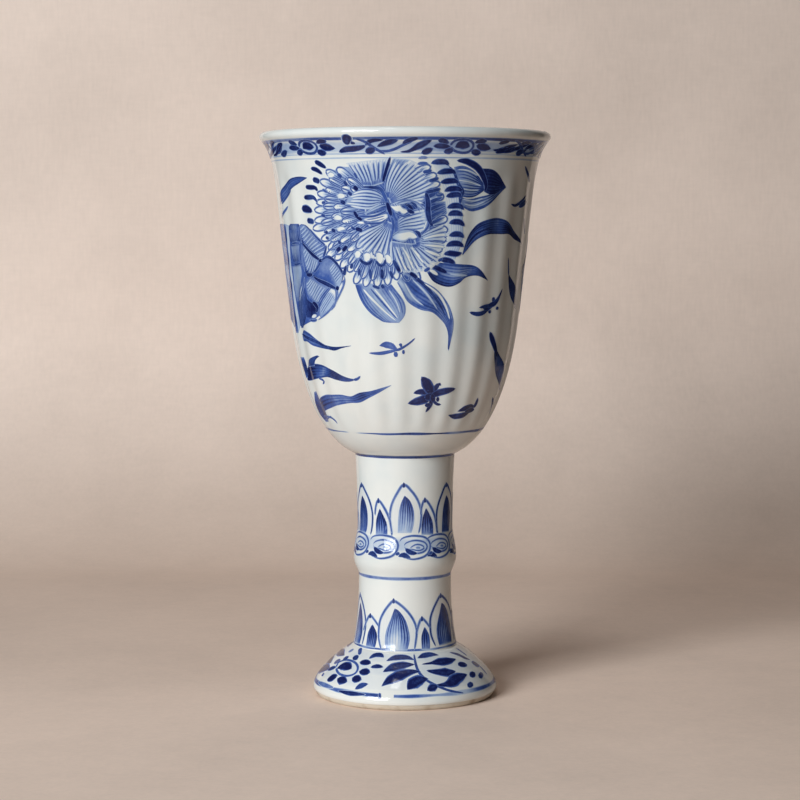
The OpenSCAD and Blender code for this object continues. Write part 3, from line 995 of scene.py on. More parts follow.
# White petals among the fans
WHITE_PETALS = (
    (((420.4, 232.8), (425.4, 228.6), (427.6, 221)), ((418.8, 231.4), (423, 227.4), (425.6, 220.6))),
    (((356.6, 222.4), (361, 220.6), (366, 222.8)), ((357, 223.4), (361.6, 224.6), (366, 223.4))),
    (((424, 248.6), (432, 250.4), (441, 254.6)), ((424.6, 251), (431.6, 255.4), (440, 257))),
    (((424, 243.8), (434, 243.6), (445, 245)), ((424.6, 246), (434, 248), (444, 248.6))),
    (((423, 237.6), (434, 233.8), (446, 232.4)), ((424, 240), (434, 237.8), (446, 236.6))),
    (((401, 247), (406, 257), (412.6, 270)), ((403.6, 246.6), (409.4, 256), (415, 268.4))),
    (((395.4, 247), (399.4, 258), (404.6, 271)), ((397.4, 246.8), (402, 257.6), (407.6, 271))),
    (((410, 247.6), (416, 256), (422.4, 264)), ((412.4, 246.6), (419, 254.4), (425, 261.6))),
    (((353.6, 253), (356, 249.4), (359.6, 251)), ((355, 258.6), (359.6, 259), (361, 253.6))),
    (((363.4, 254), (366.4, 251), (370.6, 253.6)), ((364, 261), (367.6, 263), (371, 258))),
    (((375.6, 253), (379, 251), (383, 255)), ((376.4, 262), (380.4, 265.4), (383, 260))),
    (((384.4, 255), (387.4, 252.6), (391, 257)), ((386, 262), (389.6, 265.6), (391.6, 261))),
    (((336.6, 194.6), (340, 192), (344.6, 194.4)), ((338.4, 199), (342.4, 199.6), (345, 197))),
    (((333.6, 216.4), (337.6, 213.6), (342, 217)), ((334.6, 220), (338.6, 221.4), (342, 219.6))),
    (((336.4, 228), (340.6, 225.6), (345, 227.6)), ((338, 231.4), (341.6, 231.4), (345, 229.6))),
    (((327, 174), (330.6, 171), (334.6, 174)), ((328.4, 177.6), (332, 178.6), (334.6, 176))),
)
FLOWER_STROKES = (
    ((390.4, 156.2), (387.6, 165.6), (384.8, 174.6), (382.4, 182.6), (2.6, 2.6, 3.0), 1.0),
    (
        (362, 186.8), (372, 187.4), (379.8, 188.5), (384.3, 195.8), (387.6, 203.6),
        (2.0, 2.6, 3.2, 4), (0.85, 0.85, 0.62, 0.7),
    ),
    ((386.5, 201), (388.5, 207), (390.4, 212.5), (391.2, 217), (3.2, 3.8, 3), 1.0),
    ((391, 216), (393.6, 224), (392.5, 232), (390, 243), (3, 2.2, 1.6), 0.65),
    ((425.6, 191.5), (428, 202), (428, 212.5), (430, 221.4), (433, 227), (4, 4.4, 4.4, 3.6), 0.9),
    ((427, 197.6), (433, 194.4), (440, 191.3), (4, 3, 1.6), (0.9, 0.75, 0.5)),
    ((428, 203.6), (435, 200), (443.4, 196.9), (4, 3, 1.6), (0.9, 0.75, 0.5)),
    ((428.4, 210.3), (436, 206.6), (444.5, 203.6), (4, 3, 1.6), (0.9, 0.75, 0.5)),
    ((430, 217), (437, 213.4), (445.7, 210.3), (3.6, 2.6, 1.4), (0.85, 0.7, 0.5)),
    ((430.6, 223.7), (438, 220), (445.7, 217), (3.6, 2.4, 1.4), (0.85, 0.65, 0.4)),
    ((424, 192.5), (433, 191), (441, 188.5), 3.2, 0.85),
    ((428, 181), (433, 180), (439, 177.5), 3.0, 0.75),
    ((422.5, 172), (427, 171.5), (432, 170), 3.0, 0.7),
    ((417, 164.2), (422, 163.2), (428.5, 163.6), 2.6, 0.6),
    ((418, 158.6), (422, 157.4), (428, 157.6), 2.2, 0.5),
    ((435, 194), (439, 195.5), (444, 193.5), 2.0, 0.75),
    ((403.6, 203.6), (409, 205.6), (413.6, 210.4), (1.4, 3, 2), 0.9),
    ((410, 201.8), (414.6, 204.4), (418, 209), (1.2, 2.4, 1.4), 0.8),
    ((406.6, 209.4), (411, 211.6), (415, 213.2), (2.4, 3.4, 1.8), 0.9),
    ((394, 211.5), (399, 215), (405, 216.2), (411, 213.5), (1.2, 1.4, 1.8), 0.75),
    ((396, 203.8), (406.6, 200.6), (417.8, 202.8), (424.5, 210), 1.2, 0.5),
    ((401, 205.5), (409, 203), (416, 205.5), (420, 212), 1.2, 0.6),
    ((424.5, 209), (428.4, 219.2), (427.8, 227), (421, 234.8), 2.0, 0.75),
    (
        (392, 236), (398.6, 231), (407, 229.4), (414, 230.6), (420, 235.6),
        (0.8, 1.0, 1.4, 2.4), (0.3, 0.4, 0.55, 0.85),
    ),
    ((414.5, 230.3), (418.8, 233.5), (420.4, 238.6), (2, 3, 2.4), 0.9),
    ((366, 219.8), (375, 218.4), (385, 215.6), 0.9, 0.5),
    ((370, 221.4), (378, 220.4), (385, 218), 0.8, 0.45),
    ((353, 210.3), (357.5, 217), (363, 220.6), 3.2, 1.0),
    ((357.5, 216.2), (373, 216.2), (384, 211.8), (387, 209), 1.6, 0.75),
    ((363, 222.6), (374, 223.6), (381.5, 222.4), (386.5, 218.5), (1.2, 1.5, 1.6), 0.75),
    ((353, 186), (358, 190.4), 4.0, 1.0),
    ((354.5, 228.5), (359, 229.5), (363, 231.5), 3.6, 0.95),
    ((350.5, 226.5), (355, 230), 2.4, 0.8),
    ((343.5, 180.5), (347, 186), 3.0, 0.85),
    ((337.5, 173.5), (342, 177.6), 3.0, 0.8),
    ((347, 191.8), (352, 195.2), 3.0, 0.85),
    ((340.3, 201), (345.3, 203.4), 3.6, 0.9),
    ((354, 172), (357.5, 179), 2.2, 0.7),
    ((321.5, 189), (327, 192.5), 2.0, 0.75),
    ((321, 203), (325, 202), 2.4, 0.75),
    ((320.5, 215), (325, 216), 2.4, 0.75),
    ((331, 229.5), (336, 231.5), 3.2, 0.9),
    ((342, 232.5), (347, 233), 2.0, 0.75),
    ((324.5, 231), (327.5, 233.5), 2.8, 0.85),
    ((325, 237), (328.5, 239), 2.4, 0.75),
    ((338.5, 240.5), (341, 244), 2.6, 0.85),
    ((336.5, 251.5), (341, 247), 3.6, 1.0),
    ((342.5, 251.5), (347, 245.5), 3.4, 1.0),
    ((359, 257.5), (363, 262.4), (369, 263.6), (373, 258.5), 2.8, 0.85),
    ((375, 259.5), (379.5, 265.4), (384, 264.4), (385.4, 258.5), 2.4, 0.8),
    ((393, 259), (396, 265), (400.4, 272.8), 3.4, 0.85),
    ((352, 263), (350.5, 269), 2.6, 0.8),
    ((359.5, 268), (358.5, 276), (2, 3, 1.5), 0.75),
    ((370, 268), (371, 280), (2, 3, 1.5), 0.8),
    ((381.5, 268), (382.5, 280), (2, 3.4, 2), 0.85),
    ((390, 270), (393, 279), (2, 3, 2), 0.8),
    ((372, 285.5), (380, 288.5), 2.4, 0.8),
    ((381, 284.5), (384, 288.5), 3.0, 0.85),
    ((409, 272.5), (414, 275.5), (417.5, 279), 3.6, 0.95),
    ((430, 267.5), (424, 271.5), 2.6, 0.7),
    ((443, 258.5), (438, 261), 2.4, 0.7),
)
DARK_FINGERS = (
    ((314.3, 161.2), (319.1, 163.4), (326.8, 168.2), (4.8, 4.6, 3), 1.0),
    ((310.5, 168.2), (316.6, 169.8), (322.6, 174.5), (4, 4.2, 3), 1.0),
    ((312.4, 179.3), (316, 180.2), (319.8, 182.2), 5.0, 1.0),
    ((304.8, 187), (310.2, 187.3), (315.3, 187.8), (317.4, 192.1), (4.6, 4.4, 3), 1.0),
    ((302.9, 197.5), (308.3, 197.3), (314, 197.7), (317.9, 203.6), (5, 4.6, 2), (1.0, 0.9, 0.75)),
    ((300.6, 208.7), (307, 209), (313, 211.5), (7, 7.2, 4.5), 1.0),
    ((306, 220.5), (309.6, 220.8), (315, 222), 5.2, (1.0, 0.8, 0.8)),
)
COMB = (
    ((430.7, 163.6), (436, 161.9), (445.5, 162), (448.6, 166)),
    ((436.5, 173.4), (445, 171.2), (453, 171.4), (455.6, 175)),
    ((440, 182.6), (448, 181), (456, 181), (458.6, 184.6)),
    ((444.4, 191.4), (450, 189), (458.6, 188.8), (462.6, 192)),
    ((446, 196.6), (452, 195), (459, 194.6), (461, 199)),
    ((447, 208), (453, 205.8), (460, 206), (463.8, 210)),
    ((448, 215.6), (453, 213), (459, 213.4), (463, 216)),
    ((449, 223.6), (454, 221.8), (460, 222.2), (464.6, 226.4)),
    ((449, 236), (455, 234), (460.6, 234.6), (464, 238)),
    ((446, 246.4), (452, 243.6), (459, 243.8), (463.8, 247)),
    ((443.7, 254.2), (450, 253.2), (457, 254), (462, 252.6)),
    ((439.3, 259.4), (446, 260), (451, 261.2), (455.6, 263.6)),
)
COMB_WASH = (
    ((432, 163), (438, 176), (443, 191), (446.6, 208), (447.4, 224), (447, 240), (441, 258)),
    ((447, 163), (455, 174), (461, 190), (462, 208), (463, 224), (462.6, 240), (455, 260)),
)
COMB_WASH_TONES = ((0.08, 0.16, 0.22), (0.08, 0.16, 0.22))
COMB_SIDE = (
    ((448.6, 166), (454, 172), (458, 183), (462.4, 191.5), (460.5, 197), (460, 207)),
    (2.2, 2.4, 3, 4, 2.4), 0.85,
)
# Turn of the repeat on the back, in degrees
BACK_TURN = 172.0


def between(points):
    """The points half-way from each point to the next."""
    return [tuple((a + b) / 2 for a, b in zip(*pair)) for pair in zip(points, points[1:])]


def folds(fans):
    """The petals of each fan: two ribs, and what is painted between them."""
    petals = []
    for first, *rest in fans:
        ribs = [first] + [fold[0] for fold in rest]
        petals += [(rib, *fold) for rib, fold in zip(ribs, rest)]
    return petals


def towards(point, centre, short):
    """A point moved towards a centre by so many pixels."""
    away = math.dist(point, centre)
    return tuple(c + (p - c) * (away - short) / away for p, c in zip(point, centre))


# Rows of narrow petals: tips, how far they are drawn back, width and level
FINGER_ROWS = (
    (OUTER_TIPS, 0.0, 7.4, 0.5),
    (between(OUTER_TIPS), 7.0, 7.0, 1.2),
    (MIDDLE_TIPS, 0.0, 8.0, 1.9),
    (between(MIDDLE_TIPS), 8.0, 7.4, 2.6),
)
FINGER_LENGTH = 26


class STEMCUP_OT_flower(bpy.types.Operator):
    """Paints the great flower on the front of the bowl, and its like on the back"""

    bl_idname = "stem_cup.flower"
    bl_label = "Painted flower"

    def execute(self, context):
        material = painted_glaze(context.scene.stem_cup_colours)
        for name, turn in (("painted_flower", 0.0), ("painted_flower_back", BACK_TURN)):
            brush = Brush(context.scene.stem_cup_sizes, seed=37)
            brush.turn(0, turn)
            brush.leaf(*FLOWER_GROUND, GROUND_TONES, streaks=0.3, level=0, under=0.2)
            for tips, back, width, level in FINGER_ROWS:
                for i, tip in enumerate(tips):
                    base, end = (towards(tip, THROAT, back + reach) for reach in (FINGER_LENGTH, 0))
                    brush.finger(base, end, width, tone=0.58, level=level + 0.3 * (i % 2))
            petals = folds(FANS)
            for left, right, tones, streaks, _ in petals:
                brush.leaf(left, right, tones, streaks=streaks, level=3.4, under=0.12)
            for base, tip, width in RIM_FINGERS:
                brush.finger(base, tip, width, tone=0.34, level=3.7)
            for left, right, *_, count in petals:
                brush.hatch(left, right, count)
            for left, right, *drawn, _ in INNER_PETALS:
                brush.leaf(left, right, *drawn, level=5.5, under=0.3)
            for left, right, *_, count in INNER_PETALS:
                brush.hatch(left, right, count, tone=0.68, level=6.1)
            for left, right in WHITE_PETALS:
                brush.leaf(left, right, (0.1, 0.0, 0.0), outline=0.42, level=6, under=0.2)
            brush.strokes(FLOWER_STROKES, level=7, under=0.35)
            brush.strokes(DARK_FINGERS, level=4)
            brush.leaf(*COMB_WASH, COMB_WASH_TONES, streaks=0.5, level=0.2, under=0.06)
            for pixels in COMB:
                brush.stroke(pixels, (3, 4.8, 4.6, 3), (0.8, 0.95, 0.95, 0.9), level=6, under=0.4)
            brush.stroke(*COMB_SIDE, level=5, under=0.4)
            brush.finish(name, material)
        return {"FINISHED"}


# Second flower, at the left of the front: petals with the columns of the inner ones above
SIDE_PETALS = (
    (
        ((288, 230), (288.4, 236.4), (289.4, 243.2)),
        ((299, 230), (299.2, 236), (300.4, 242)),
        ((0.7, 0.45, 0.55), (0.7, 0.42, 0.6), (0.75, 0.65, 0.75)), 0.7, 0.6, 0,
    ),
    (
        ((288, 231), (288, 226), (289.4, 223.8)),
        ((299, 231), (299, 226), (298.4, 223.8)),
        ((0.7, 0.45, 0.55), (0.65, 0.4, 0.55), (0.7, 0.6, 0.7)), 0.7, 0.6, 0,
    ),
    (
        (
            (299, 225.4), (299.3, 234), (301.6, 242.4), (305.8, 247.8), (311, 253), (316.3, 257),
            (321.6, 260),
        ),
        (
            (300.6, 224), (304.4, 225), (308.7, 228.4), (314.8, 234.9), (320.9, 241.4), (325.6, 246),
            (324.6, 252), (322.4, 259.6),
        ),
        (
            (0.6, 0.5, 0.55), (0.6, 0.45, 0.45), (0.65, 0.42, 0.42), (0.65, 0.5, 0.55), (0.7, 0.55, 0.5),
            (0.6, 0.4, 0.35),
        ),
        0.8, 0.0, 12,
    ),
    (
        ((289.6, 246), (290.6, 254.8), (292.4, 263)),
        ((300.4, 244.4), (300.8, 253.3), (301.6, 261.4)),
        ((0.3, 0.3, 0.35), (0.5, 0.4, 0.5), (0.85, 0.65, 0.7)), 0.6, 0.6, 0,
    ),
    (
        ((301, 244.4), (301.4, 249), (301.9, 256.3), (303.4, 265.5), (305.8, 274.6)),
        (
            (302.4, 245.4), (307, 251), (313, 256.4), (319.6, 261), (317.6, 267), (314, 271.6),
            (310.4, 275.4),
        ),
        ((0.5, 0.45, 0.5), (0.45, 0.36, 0.35), (0.45, 0.38, 0.35), (0.55, 0.5, 0.4), (0.95, 0.9, 0.7)),
        0.6, 0.0, 0,
    ),
    (
        ((312, 275.6), (317.8, 279.3), (324, 282.3), (330.1, 285.4), (336.2, 288)),
        (
            (320.4, 262), (325, 257.6), (331, 258.4), (337.7, 264.7), (342.3, 271.6), (343.6, 277),
            (339.4, 287.6),
        ),
        ((0.6, 0.5, 0.5), (0.58, 0.45, 0.5), (0.75, 0.45, 0.45), (0.7, 0.3, 0.3), (0.5, 0.25, 0.2)),
        0.8, 0.0, 0,
    ),
    (
        ((305.6, 277.6), (304.3, 286.9), (306.6, 296.1), (311, 302.6), (315, 305)),
        (
            (312.6, 277.2), (319.4, 280.3), (325.5, 284), (329.4, 287), (325.2, 292), (320.9, 298.4),
            (316.6, 304.6),
        ),
        ((0.5, 0.5, 0.5), (0.5, 0.4, 0.5), (0.5, 0.3, 0.45), (0.6, 0.35, 0.5), (0.8, 0.6, 0.6)),
        0.6, 0.0, 0,
    ),
    (
        ((330.6, 287.4), (326, 292.4), (321.6, 299.6), (319, 307), (319, 314.5), (320.9, 317.3)),
        ((335, 289.6), (336, 297.6), (333.7, 305.3), (327.8, 313.4), (322.4, 317.4)),
        ((0.1, 0.02, 0.05), (0.3, 0.1, 0.2), (0.4, 0.25, 0.3), (0.4, 0.35, 0.4)), 0.6, 0.0, 0,
    ),
    (
        ((291, 266.4), (292.2, 276.2), (293.4, 287.7), (296, 301.5)),
        ((301.6, 264.6), (303.1, 273.1), (301.8, 283.9), (298.2, 302)),
        ((0.35, 0.25, 0.3), (0.35, 0.25, 0.35), (0.4, 0.3, 0.55), (0.5, 0.45, 0.6)), 0.55, 0.6, 0,
    ),
    (
        ((303.2, 276), (301.6, 285), (298.4, 296), (297.4, 306), (298.6, 318), (300.4, 328)),
        ((304.4, 277), (304.2, 288), (306.6, 297.4), (306.8, 306), (306.6, 317), (302.4, 328)),
        ((0.6, 0.6, 0.6), (0.65, 0.6, 0.7), (0.6, 0.65, 0.8), (0.75, 0.65, 0.85), (0.8, 0.7, 0.8)),
        0.7, 0.6, 0,
    ),
    (
        ((306.6, 298.4), (306.2, 307), (307, 318)),
        ((310.6, 303.4), (318, 307), (313.6, 319.4)),
        ((0.85, 0.9, 0.9), (0.9, 0.95, 0.95), (0.85, 0.8, 0.7)), 0.8, 0.0, 0,
    ),
    (
        ((336, 290), (337.4, 298), (333, 308)),
        ((344, 279), (343, 289), (334, 307.6)),
        ((0.15, 0.05, 0.1), (0.2, 0.1, 0.2)), 0.5, 0.6, 0,
    ),
)
SIDE_GROUND = (
    ((288.6, 226), (289, 242), (290.2, 261), (292, 276), (295.6, 303), (299.4, 326)),
    (
        (299, 225.5), (311, 231.5), (320, 241), (322.6, 250), (322, 258), (332, 261.6), (339, 269),
        (342, 277), (337, 288), (335, 299), (328, 309), (316, 318), (303, 326),
    ),
)
SIDE_STROKES = (
    ((301.4, 242.4), (305.6, 248), (311, 253.4), (316.3, 257.4), (321, 260.6), (2.6, 3, 3.4, 3), 0.95),
    ((309, 228.6), (314.8, 235.2), (320.9, 241.8), (325.4, 246), 2.0, 0.85),
    ((325.8, 245), (325, 250), (322.6, 258.6), (1.8, 2, 3), 0.8),
    ((320, 258.6), (321, 262.4), 4.2, 1.0),
    (
        (321, 261), (325.6, 257), (331, 258.4), (337.6, 264.6), (342.4, 271.6), (344, 276),
        (2.6, 3, 2.6, 2, 2.4), 0.85,
    ),
    ((320.6, 262), (317.4, 268), (313.4, 273), (2, 2.2, 2), 0.7),
    ((305.4, 274.4), (308.6, 275), (312.6, 274.2), (3, 3.8, 2.4), 0.95),
    ((312.6, 276), (317.8, 279.6), (324, 282.8), (330.1, 286), (336.4, 288.6), (2, 3.2, 4, 3.4), 0.9),
    ((335.6, 287), (339, 289.4), 4.2, 1.0),
    ((346, 265), (345, 270), (343.6, 276), (2, 2.6, 4), 0.85),
    ((344.2, 275.4), (344.6, 282.3), (340, 293.8), (331.6, 306.8), (324.7, 315), (317.8, 320.2), 1.5, 0.6),
    ((335.6, 289.6), (336.4, 297.6), (333.9, 305.3), (330, 311), 1.3, 0.62),
    ((329.6, 286.8), (325.2, 292), (320.9, 298.6), (317.6, 305), 1.6, 0.7),
    ((304.4, 277), (303.2, 288), (300, 298), (1.6, 2, 1.4), 0.75),
    ((302, 286), (300.4, 294), (299, 301), 1.2, 0.04),
    ((311, 302), (315, 304.4), (317.4, 308), (315.6, 313), (2.4, 4.4, 4.4, 3), 0.98),
    ((311, 317.4), (313.6, 316), (316.4, 315.4), (2, 3, 2), 0.06),
    ((309, 320), (313, 320.6), (317, 319.4), 2.0, 0.75),
    ((290.8, 243.8), (295, 243), (300.4, 243), (1.6, 2, 1.6), 0.8),
    ((293, 264.2), (297, 264.4), (301.6, 262.6), (2.4, 2.2, 1.6), 0.75),
    ((299.2, 225), (299.4, 234), (301.2, 243), 1.7, 0.75),
    ((301, 244), (301.4, 253), (302.6, 263), (304.6, 272), 1.2, 0.66),
)
# Fine lines of the petals, from one edge to another, and their count
SIDE_LINES = (
    (
        ((301.8, 245.6), (302.6, 254), (304, 264), (305.8, 273.6), (311, 274.6), (315, 271)),
        ((303, 245.6), (309, 252), (314, 256.6), (319, 260.4)), 8,
    ),
    (
        ((327, 267), (328.5, 273), (331.5, 279), (336, 285.5)),
        ((332, 259.4), (337.5, 264.4), (341.5, 270), (343, 277)), 7,
    ),
    (
        ((305.4, 281), (305.6, 290), (308.6, 298), (313.4, 303.4), (317.6, 304)),
        ((308, 277.8), (316, 279.6), (322, 283), (326, 285.6), (329.4, 287.6)), 9,
    ),
    (
        ((319.2, 306.6), (319.2, 312), (320.4, 316.6), (325, 314), (330, 309.4)),
        ((328.6, 290.6), (332, 289.6), (335, 291.6), (335.6, 297), (334.4, 303)), 8,
    ),
)
# Far edge of the flower, on the outline of the bowl
SIDE_SLIVER = (
    (
        (281.6, 224), (283.2, 234), (284.4, 245.6), (285.6, 257.8), (287.4, 272.4), (289, 283.9),
        (290.2, 295.3), (292.2, 310.6), (294, 322), (295.8, 333),
    ),
    (
        (285.2, 224), (286.6, 234), (287.6, 245.6), (289, 257.8), (290.2, 272.4), (292, 283.9),
        (293.2, 295.3), (295, 310.6), (296.8, 322), (298.2, 333),
    ),
)
SLIVER_TONES = (0.5, 0.8, 0.5, 0.75, 0.45, 0.85, 0.55, 0.6, 0.75, 0.5)
# Tones of a paler strip between the far edge and the petals, a painted reflection along the outline
SLIVER_REFLECTION_TONES = (0.2, 0.12, 0.18, 0.1, 0.16, 0.12, 0.2)
# Angles where the drawn half of the flower ends, and where its mirrored half begins
SIDE_END, SIDE_MIRROR = -68.3, -76.5
# Each side flower, its turn in degrees and the breadth of its mirrored half
SIDE_FLOWERS = (("painted_side_flower", 0.0, 0.6), ("painted_side_flower_back", BACK_TURN, 0.45))


class STEMCUP_OT_side_flower(bpy.types.Operator):
    """Paints the second flower, which wraps round the left side, and its like on the back"""

    bl_idname = "stem_cup.side_flower"
    bl_label = "Painted side flower"

    def execute(self, context):
        material = painted_glaze(context.scene.stem_cup_colours)
        for name, turn, breadth in SIDE_FLOWERS:
            brush = Brush(context.scene.stem_cup_sizes, seed=41)
            for about, to, stretch in ((0, turn, 1), (SIDE_END, SIDE_MIRROR + turn, -breadth)):
                brush.turn(about, to, stretch)
                brush.leaf(*SIDE_GROUND, (0.6, 0.6, 0.55, 0.6), outline=0.6, level=0.4)
                for left, right, *drawn, count in SIDE_PETALS:
                    brush.leaf(left, right, *drawn, level=1.5, under=0.5)
                    brush.across(left, right, count)
                for left, right, count in SIDE_LINES:
                    brush.across(left, right, count)
                brush.strokes(SIDE_STROKES, level=5, under=0.3)
            brush.turn(0, turn)
            brush.leaf(*SIDE_SLIVER, SLIVER_TONES, streaks=0.3, under=0.3)
            # Painted reflection: a paler strip along the outline, between the far edge and the petals
            brush.leaf(SIDE_SLIVER[1], SIDE_GROUND[0], SLIVER_REFLECTION_TONES, streaks=0.9, level=0.8, under=0.25)
            brush.finish(name, material)
        return {"FINISHED"}


# Leaves of the bowl: two edges from base to tip, tones by rows, edge tone and streaks
LEAVES = (
    (
        ((460, 197), (470, 199), (481, 196.5), (490, 194), (506, 187)),
        ((461.5, 206), (471, 211.4), (483, 208.6), (493.5, 201), (506.5, 187.5)),
        ((0.35, 0.4, 0.45), (0.35, 0.45, 0.5), (0.5, 0.45, 0.5), (0.8, 0.7, 0.6), (0.95, 0.95, 0.95)),
        0.6, 0.7,
    ),
    (
        ((481, 168.4), (492, 169.2), (499.6, 175), (506.5, 186.8)),
        ((484.6, 192), (490, 194.6), (497, 193.4), (506.5, 187.4)), (0.85, 0.9, 0.9, 0.95), 0.85, 0.2,
    ),
    (
        ((454, 167), (463, 165.6), (472, 169.5), (479, 176), (484, 184)),
        ((459.5, 196), (466, 197.5), (474, 197), (480, 194), (485, 190)),
        ((0.5, 0.35, 0.4), (0.5, 0.4, 0.45), (0.55, 0.45, 0.5), (0.8, 0.7, 0.7), (0.95, 0.9, 0.9)),
        0.5, 0.8,
    ),
    # This leaf's paler rows half-way along are a painted highlight on a flute
    (
        (
            (462.3, 254.7), (466.1, 241.8), (470.9, 232.3), (478.6, 223.7), (488.1, 219.4), (497.7, 217.9),
            (505.4, 219.8), (511, 225), (517, 234), (522.6, 244),
        ),
        (
            (462.6, 255.2), (467.1, 250.4), (474.7, 241.8), (482.4, 236.6), (490, 234.2), (501.5, 234.2),
            (509.2, 234.4), (515.9, 239.9), (522.6, 244.4),
        ),
        (
            (0.8, 0.6, 0.7), (0.95, 0.55, 0.6), (0.95, 0.6, 0.7), (0.7, 0.75, 0.8), (0.5, 0.6, 0.65),
            (0.6, 1.0, 0.9), (0.6, 1.0, 0.95), (0.9, 0.95, 0.9), (0.9, 0.9, 0.9),
        ),
        0.75, 0.3,
    ),
    (
        ((440, 262.6), (452.7, 263.6), (463.3, 264.3), (473.8, 265.3), (480.5, 269.6), (488.3, 280.2)),
        (
            (427, 272.4), (432.7, 281), (442.2, 285.8), (450.8, 286.8), (459.4, 283), (465.2, 278.2),
            (472.8, 275.8), (479.5, 276.3), (488.3, 280.8),
        ),
        (
            (0.6, 0.7, 0.9), (0.55, 0.4, 1.0), (0.6, 0.35, 0.95), (0.65, 0.45, 0.7), (0.85, 0.9, 0.85),
            (0.95, 0.95, 0.95),
        ),
        0.7, 0.4,
    ),
    (
        (
            (354.2, 283.4), (357.6, 294.1), (362.6, 304), (370.3, 313.2), (377.9, 318.9), (384.8, 322.4),
            (398.6, 322.8),
        ),
        (
            (390.9, 283.7), (398.6, 293.3), (403.9, 301), (405.8, 308.6), (404.7, 315.5), (401.6, 320.1),
            (399, 322.9),
        ),
        (
            (0.75, 0.4, 0.25, 0.5, 0.6), (0.65, 0.35, 0.2, 0.5, 0.45), (0.6, 0.3, 0.25, 0.4, 0.45),
            (0.6, 0.35, 0.25, 0.35, 0.4), (0.55, 0.4, 0.3, 0.3, 0.35),
        ),
        0.45, 0.35,
    ),
    (
        (
            (397, 282.6), (401.6, 291), (406.2, 300.2), (412.3, 305.6), (421.5, 310.2), (432.2, 312.4),
            (440.7, 319.3), (446, 326.2), (448.3, 335.4), (447.9, 347.7), (448.6, 350.6),
        ),
        (
            (405, 272), (421.5, 280.3), (435.3, 288), (443.7, 296.4), (449.8, 306.3), (453.3, 318.6),
            (453.3, 328.5), (451.4, 338.5), (448.8, 350.8),
        ),
        (
            (0.3, 0.15, 0.5, 0.6, 0.15), (0.35, 0.3, 0.75, 0.5, 0.2), (0.45, 0.7, 0.45, 0.75, 0.2),
            (0.5, 0.5, 0.6, 0.7, 0.3), (0.65, 0.6, 0.6, 0.5, 0.4), (0.75, 0.75, 0.7, 0.7, 0.6),
        ),
        0.5, 0.3,
    ),
    (
        (
            (301.4, 336), (303, 330), (309, 333), (314, 338), (321, 343), (328, 345.7), (334, 346.8),
            (343, 346.4), (351, 345.6),
        ),
        (
            (301.6, 337), (303, 341.2), (307.6, 341.8), (313.7, 346.3), (328, 349.4), (334, 350.7),
            (341, 348.4), (351, 346),
        ),
        ((0.4, 0.5, 0.5), (0.75, 0.5, 0.6), (0.75, 0.6, 0.6), (0.95, 0.8, 0.85), (0.8, 0.8, 0.8)),
        0.65, 0.25,
    ),
    (
        (
            (306.4, 372), (307.6, 365), (314, 363.6), (323, 365.5), (332, 370), (340.9, 375.4),
            (350.7, 378.5), (356, 379),
        ),
        (
            (306.6, 373), (307.6, 380), (311, 380.4), (318.6, 378.4), (327.5, 377.1), (335.5, 379.8),
            (342.7, 381.6), (350.7, 381.6), (356, 379.6),
        ),
        (
            (0.85, 0.95, 0.8), (0.9, 1.0, 0.9), (0.9, 0.85, 0.7), (0.5, 0.42, 0.5), (0.95, 0.9, 0.9),
            (0.75, 0.7, 0.7), (0.7, 0.7, 0.7),
        ),
        0.75, 0.2,
    ),
    (
        ((307.2, 367), (308, 360.6), (312, 357.2), (316.4, 355.2)),
        ((314.6, 366), (314.6, 361.6), (316, 358.4), (318.4, 356.6)), (0.8, 0.7, 0.75, 0.8), 0.75, 0.2,
    ),
    (
        (
            (316.8, 407), (317.6, 401), (323.9, 395), (332, 394.6), (340, 394.6), (350.7, 396.3),
            (358.8, 392.8), (370.4, 391), (380.2, 388.3), (391, 385.2),
        ),
        (
            (317.6, 408), (321.8, 412.4), (330.2, 408), (340, 404.8), (350.7, 403), (359.6, 402.6),
            (367.7, 398.6), (376.6, 394.1), (391.2, 385.6),
        ),
        (
            (0.6, 0.65, 0.7), (0.75, 0.9, 0.85), (0.65, 0.75, 0.8), (0.5, 0.5, 0.6), (0.6, 0.5, 0.6),
            (0.75, 0.85, 0.7), (0.6, 0.6, 0.55), (0.4, 0.4, 0.4),
        ),
        0.55, 0.3,
    ),
    (
        ((494, 350), (494.6, 362), (497, 376), (500, 390)),
        ((496.6, 349), (502.4, 359), (504.4, 371), (500.6, 390)),
        ((0.95, 0.9, 0.9), (0.8, 0.6, 0.8), (0.7, 0.6, 0.75), (0.9, 0.9, 0.9)), 0.8, 0.2,
    ),
    (
        ((509.4, 274), (509.8, 287), (511.5, 299), (516, 309)),
        ((510, 274), (514.5, 284), (517.6, 296), (516.6, 309)), (0.85, 0.85, 0.8, 0.9), 0.85, 0.2,
    ),
    (
        ((279.5, 203), (281, 190), (289, 179.5), (298, 176.5), (307, 177.5)),
        ((280, 204), (286, 197), (291, 189.5), (298, 183.5), (307, 178)),
        ((0.6, 0.6, 0.6), (0.75, 0.55, 0.6), (0.8, 0.6, 0.7), (0.85, 0.7, 0.8)), 0.7, 0.25,
    ),
    (
        ((300.6, 357), (302.2, 364), (304.4, 371), (306.4, 378)),
        ((303.2, 357), (305.4, 364), (307, 371), (307.6, 378)), (0.5, 0.75, 0.85, 0.5), 0.6, 0.3,
    ),
    (
        ((313.2, 392), (315.4, 403), (319.8, 413.6), (325.8, 422)),
        ((315.2, 391), (320, 401.4), (325.6, 412), (328.2, 421.6)), (0.5, 0.8, 0.85, 0.6), 0.6, 0.3,
    ),
)
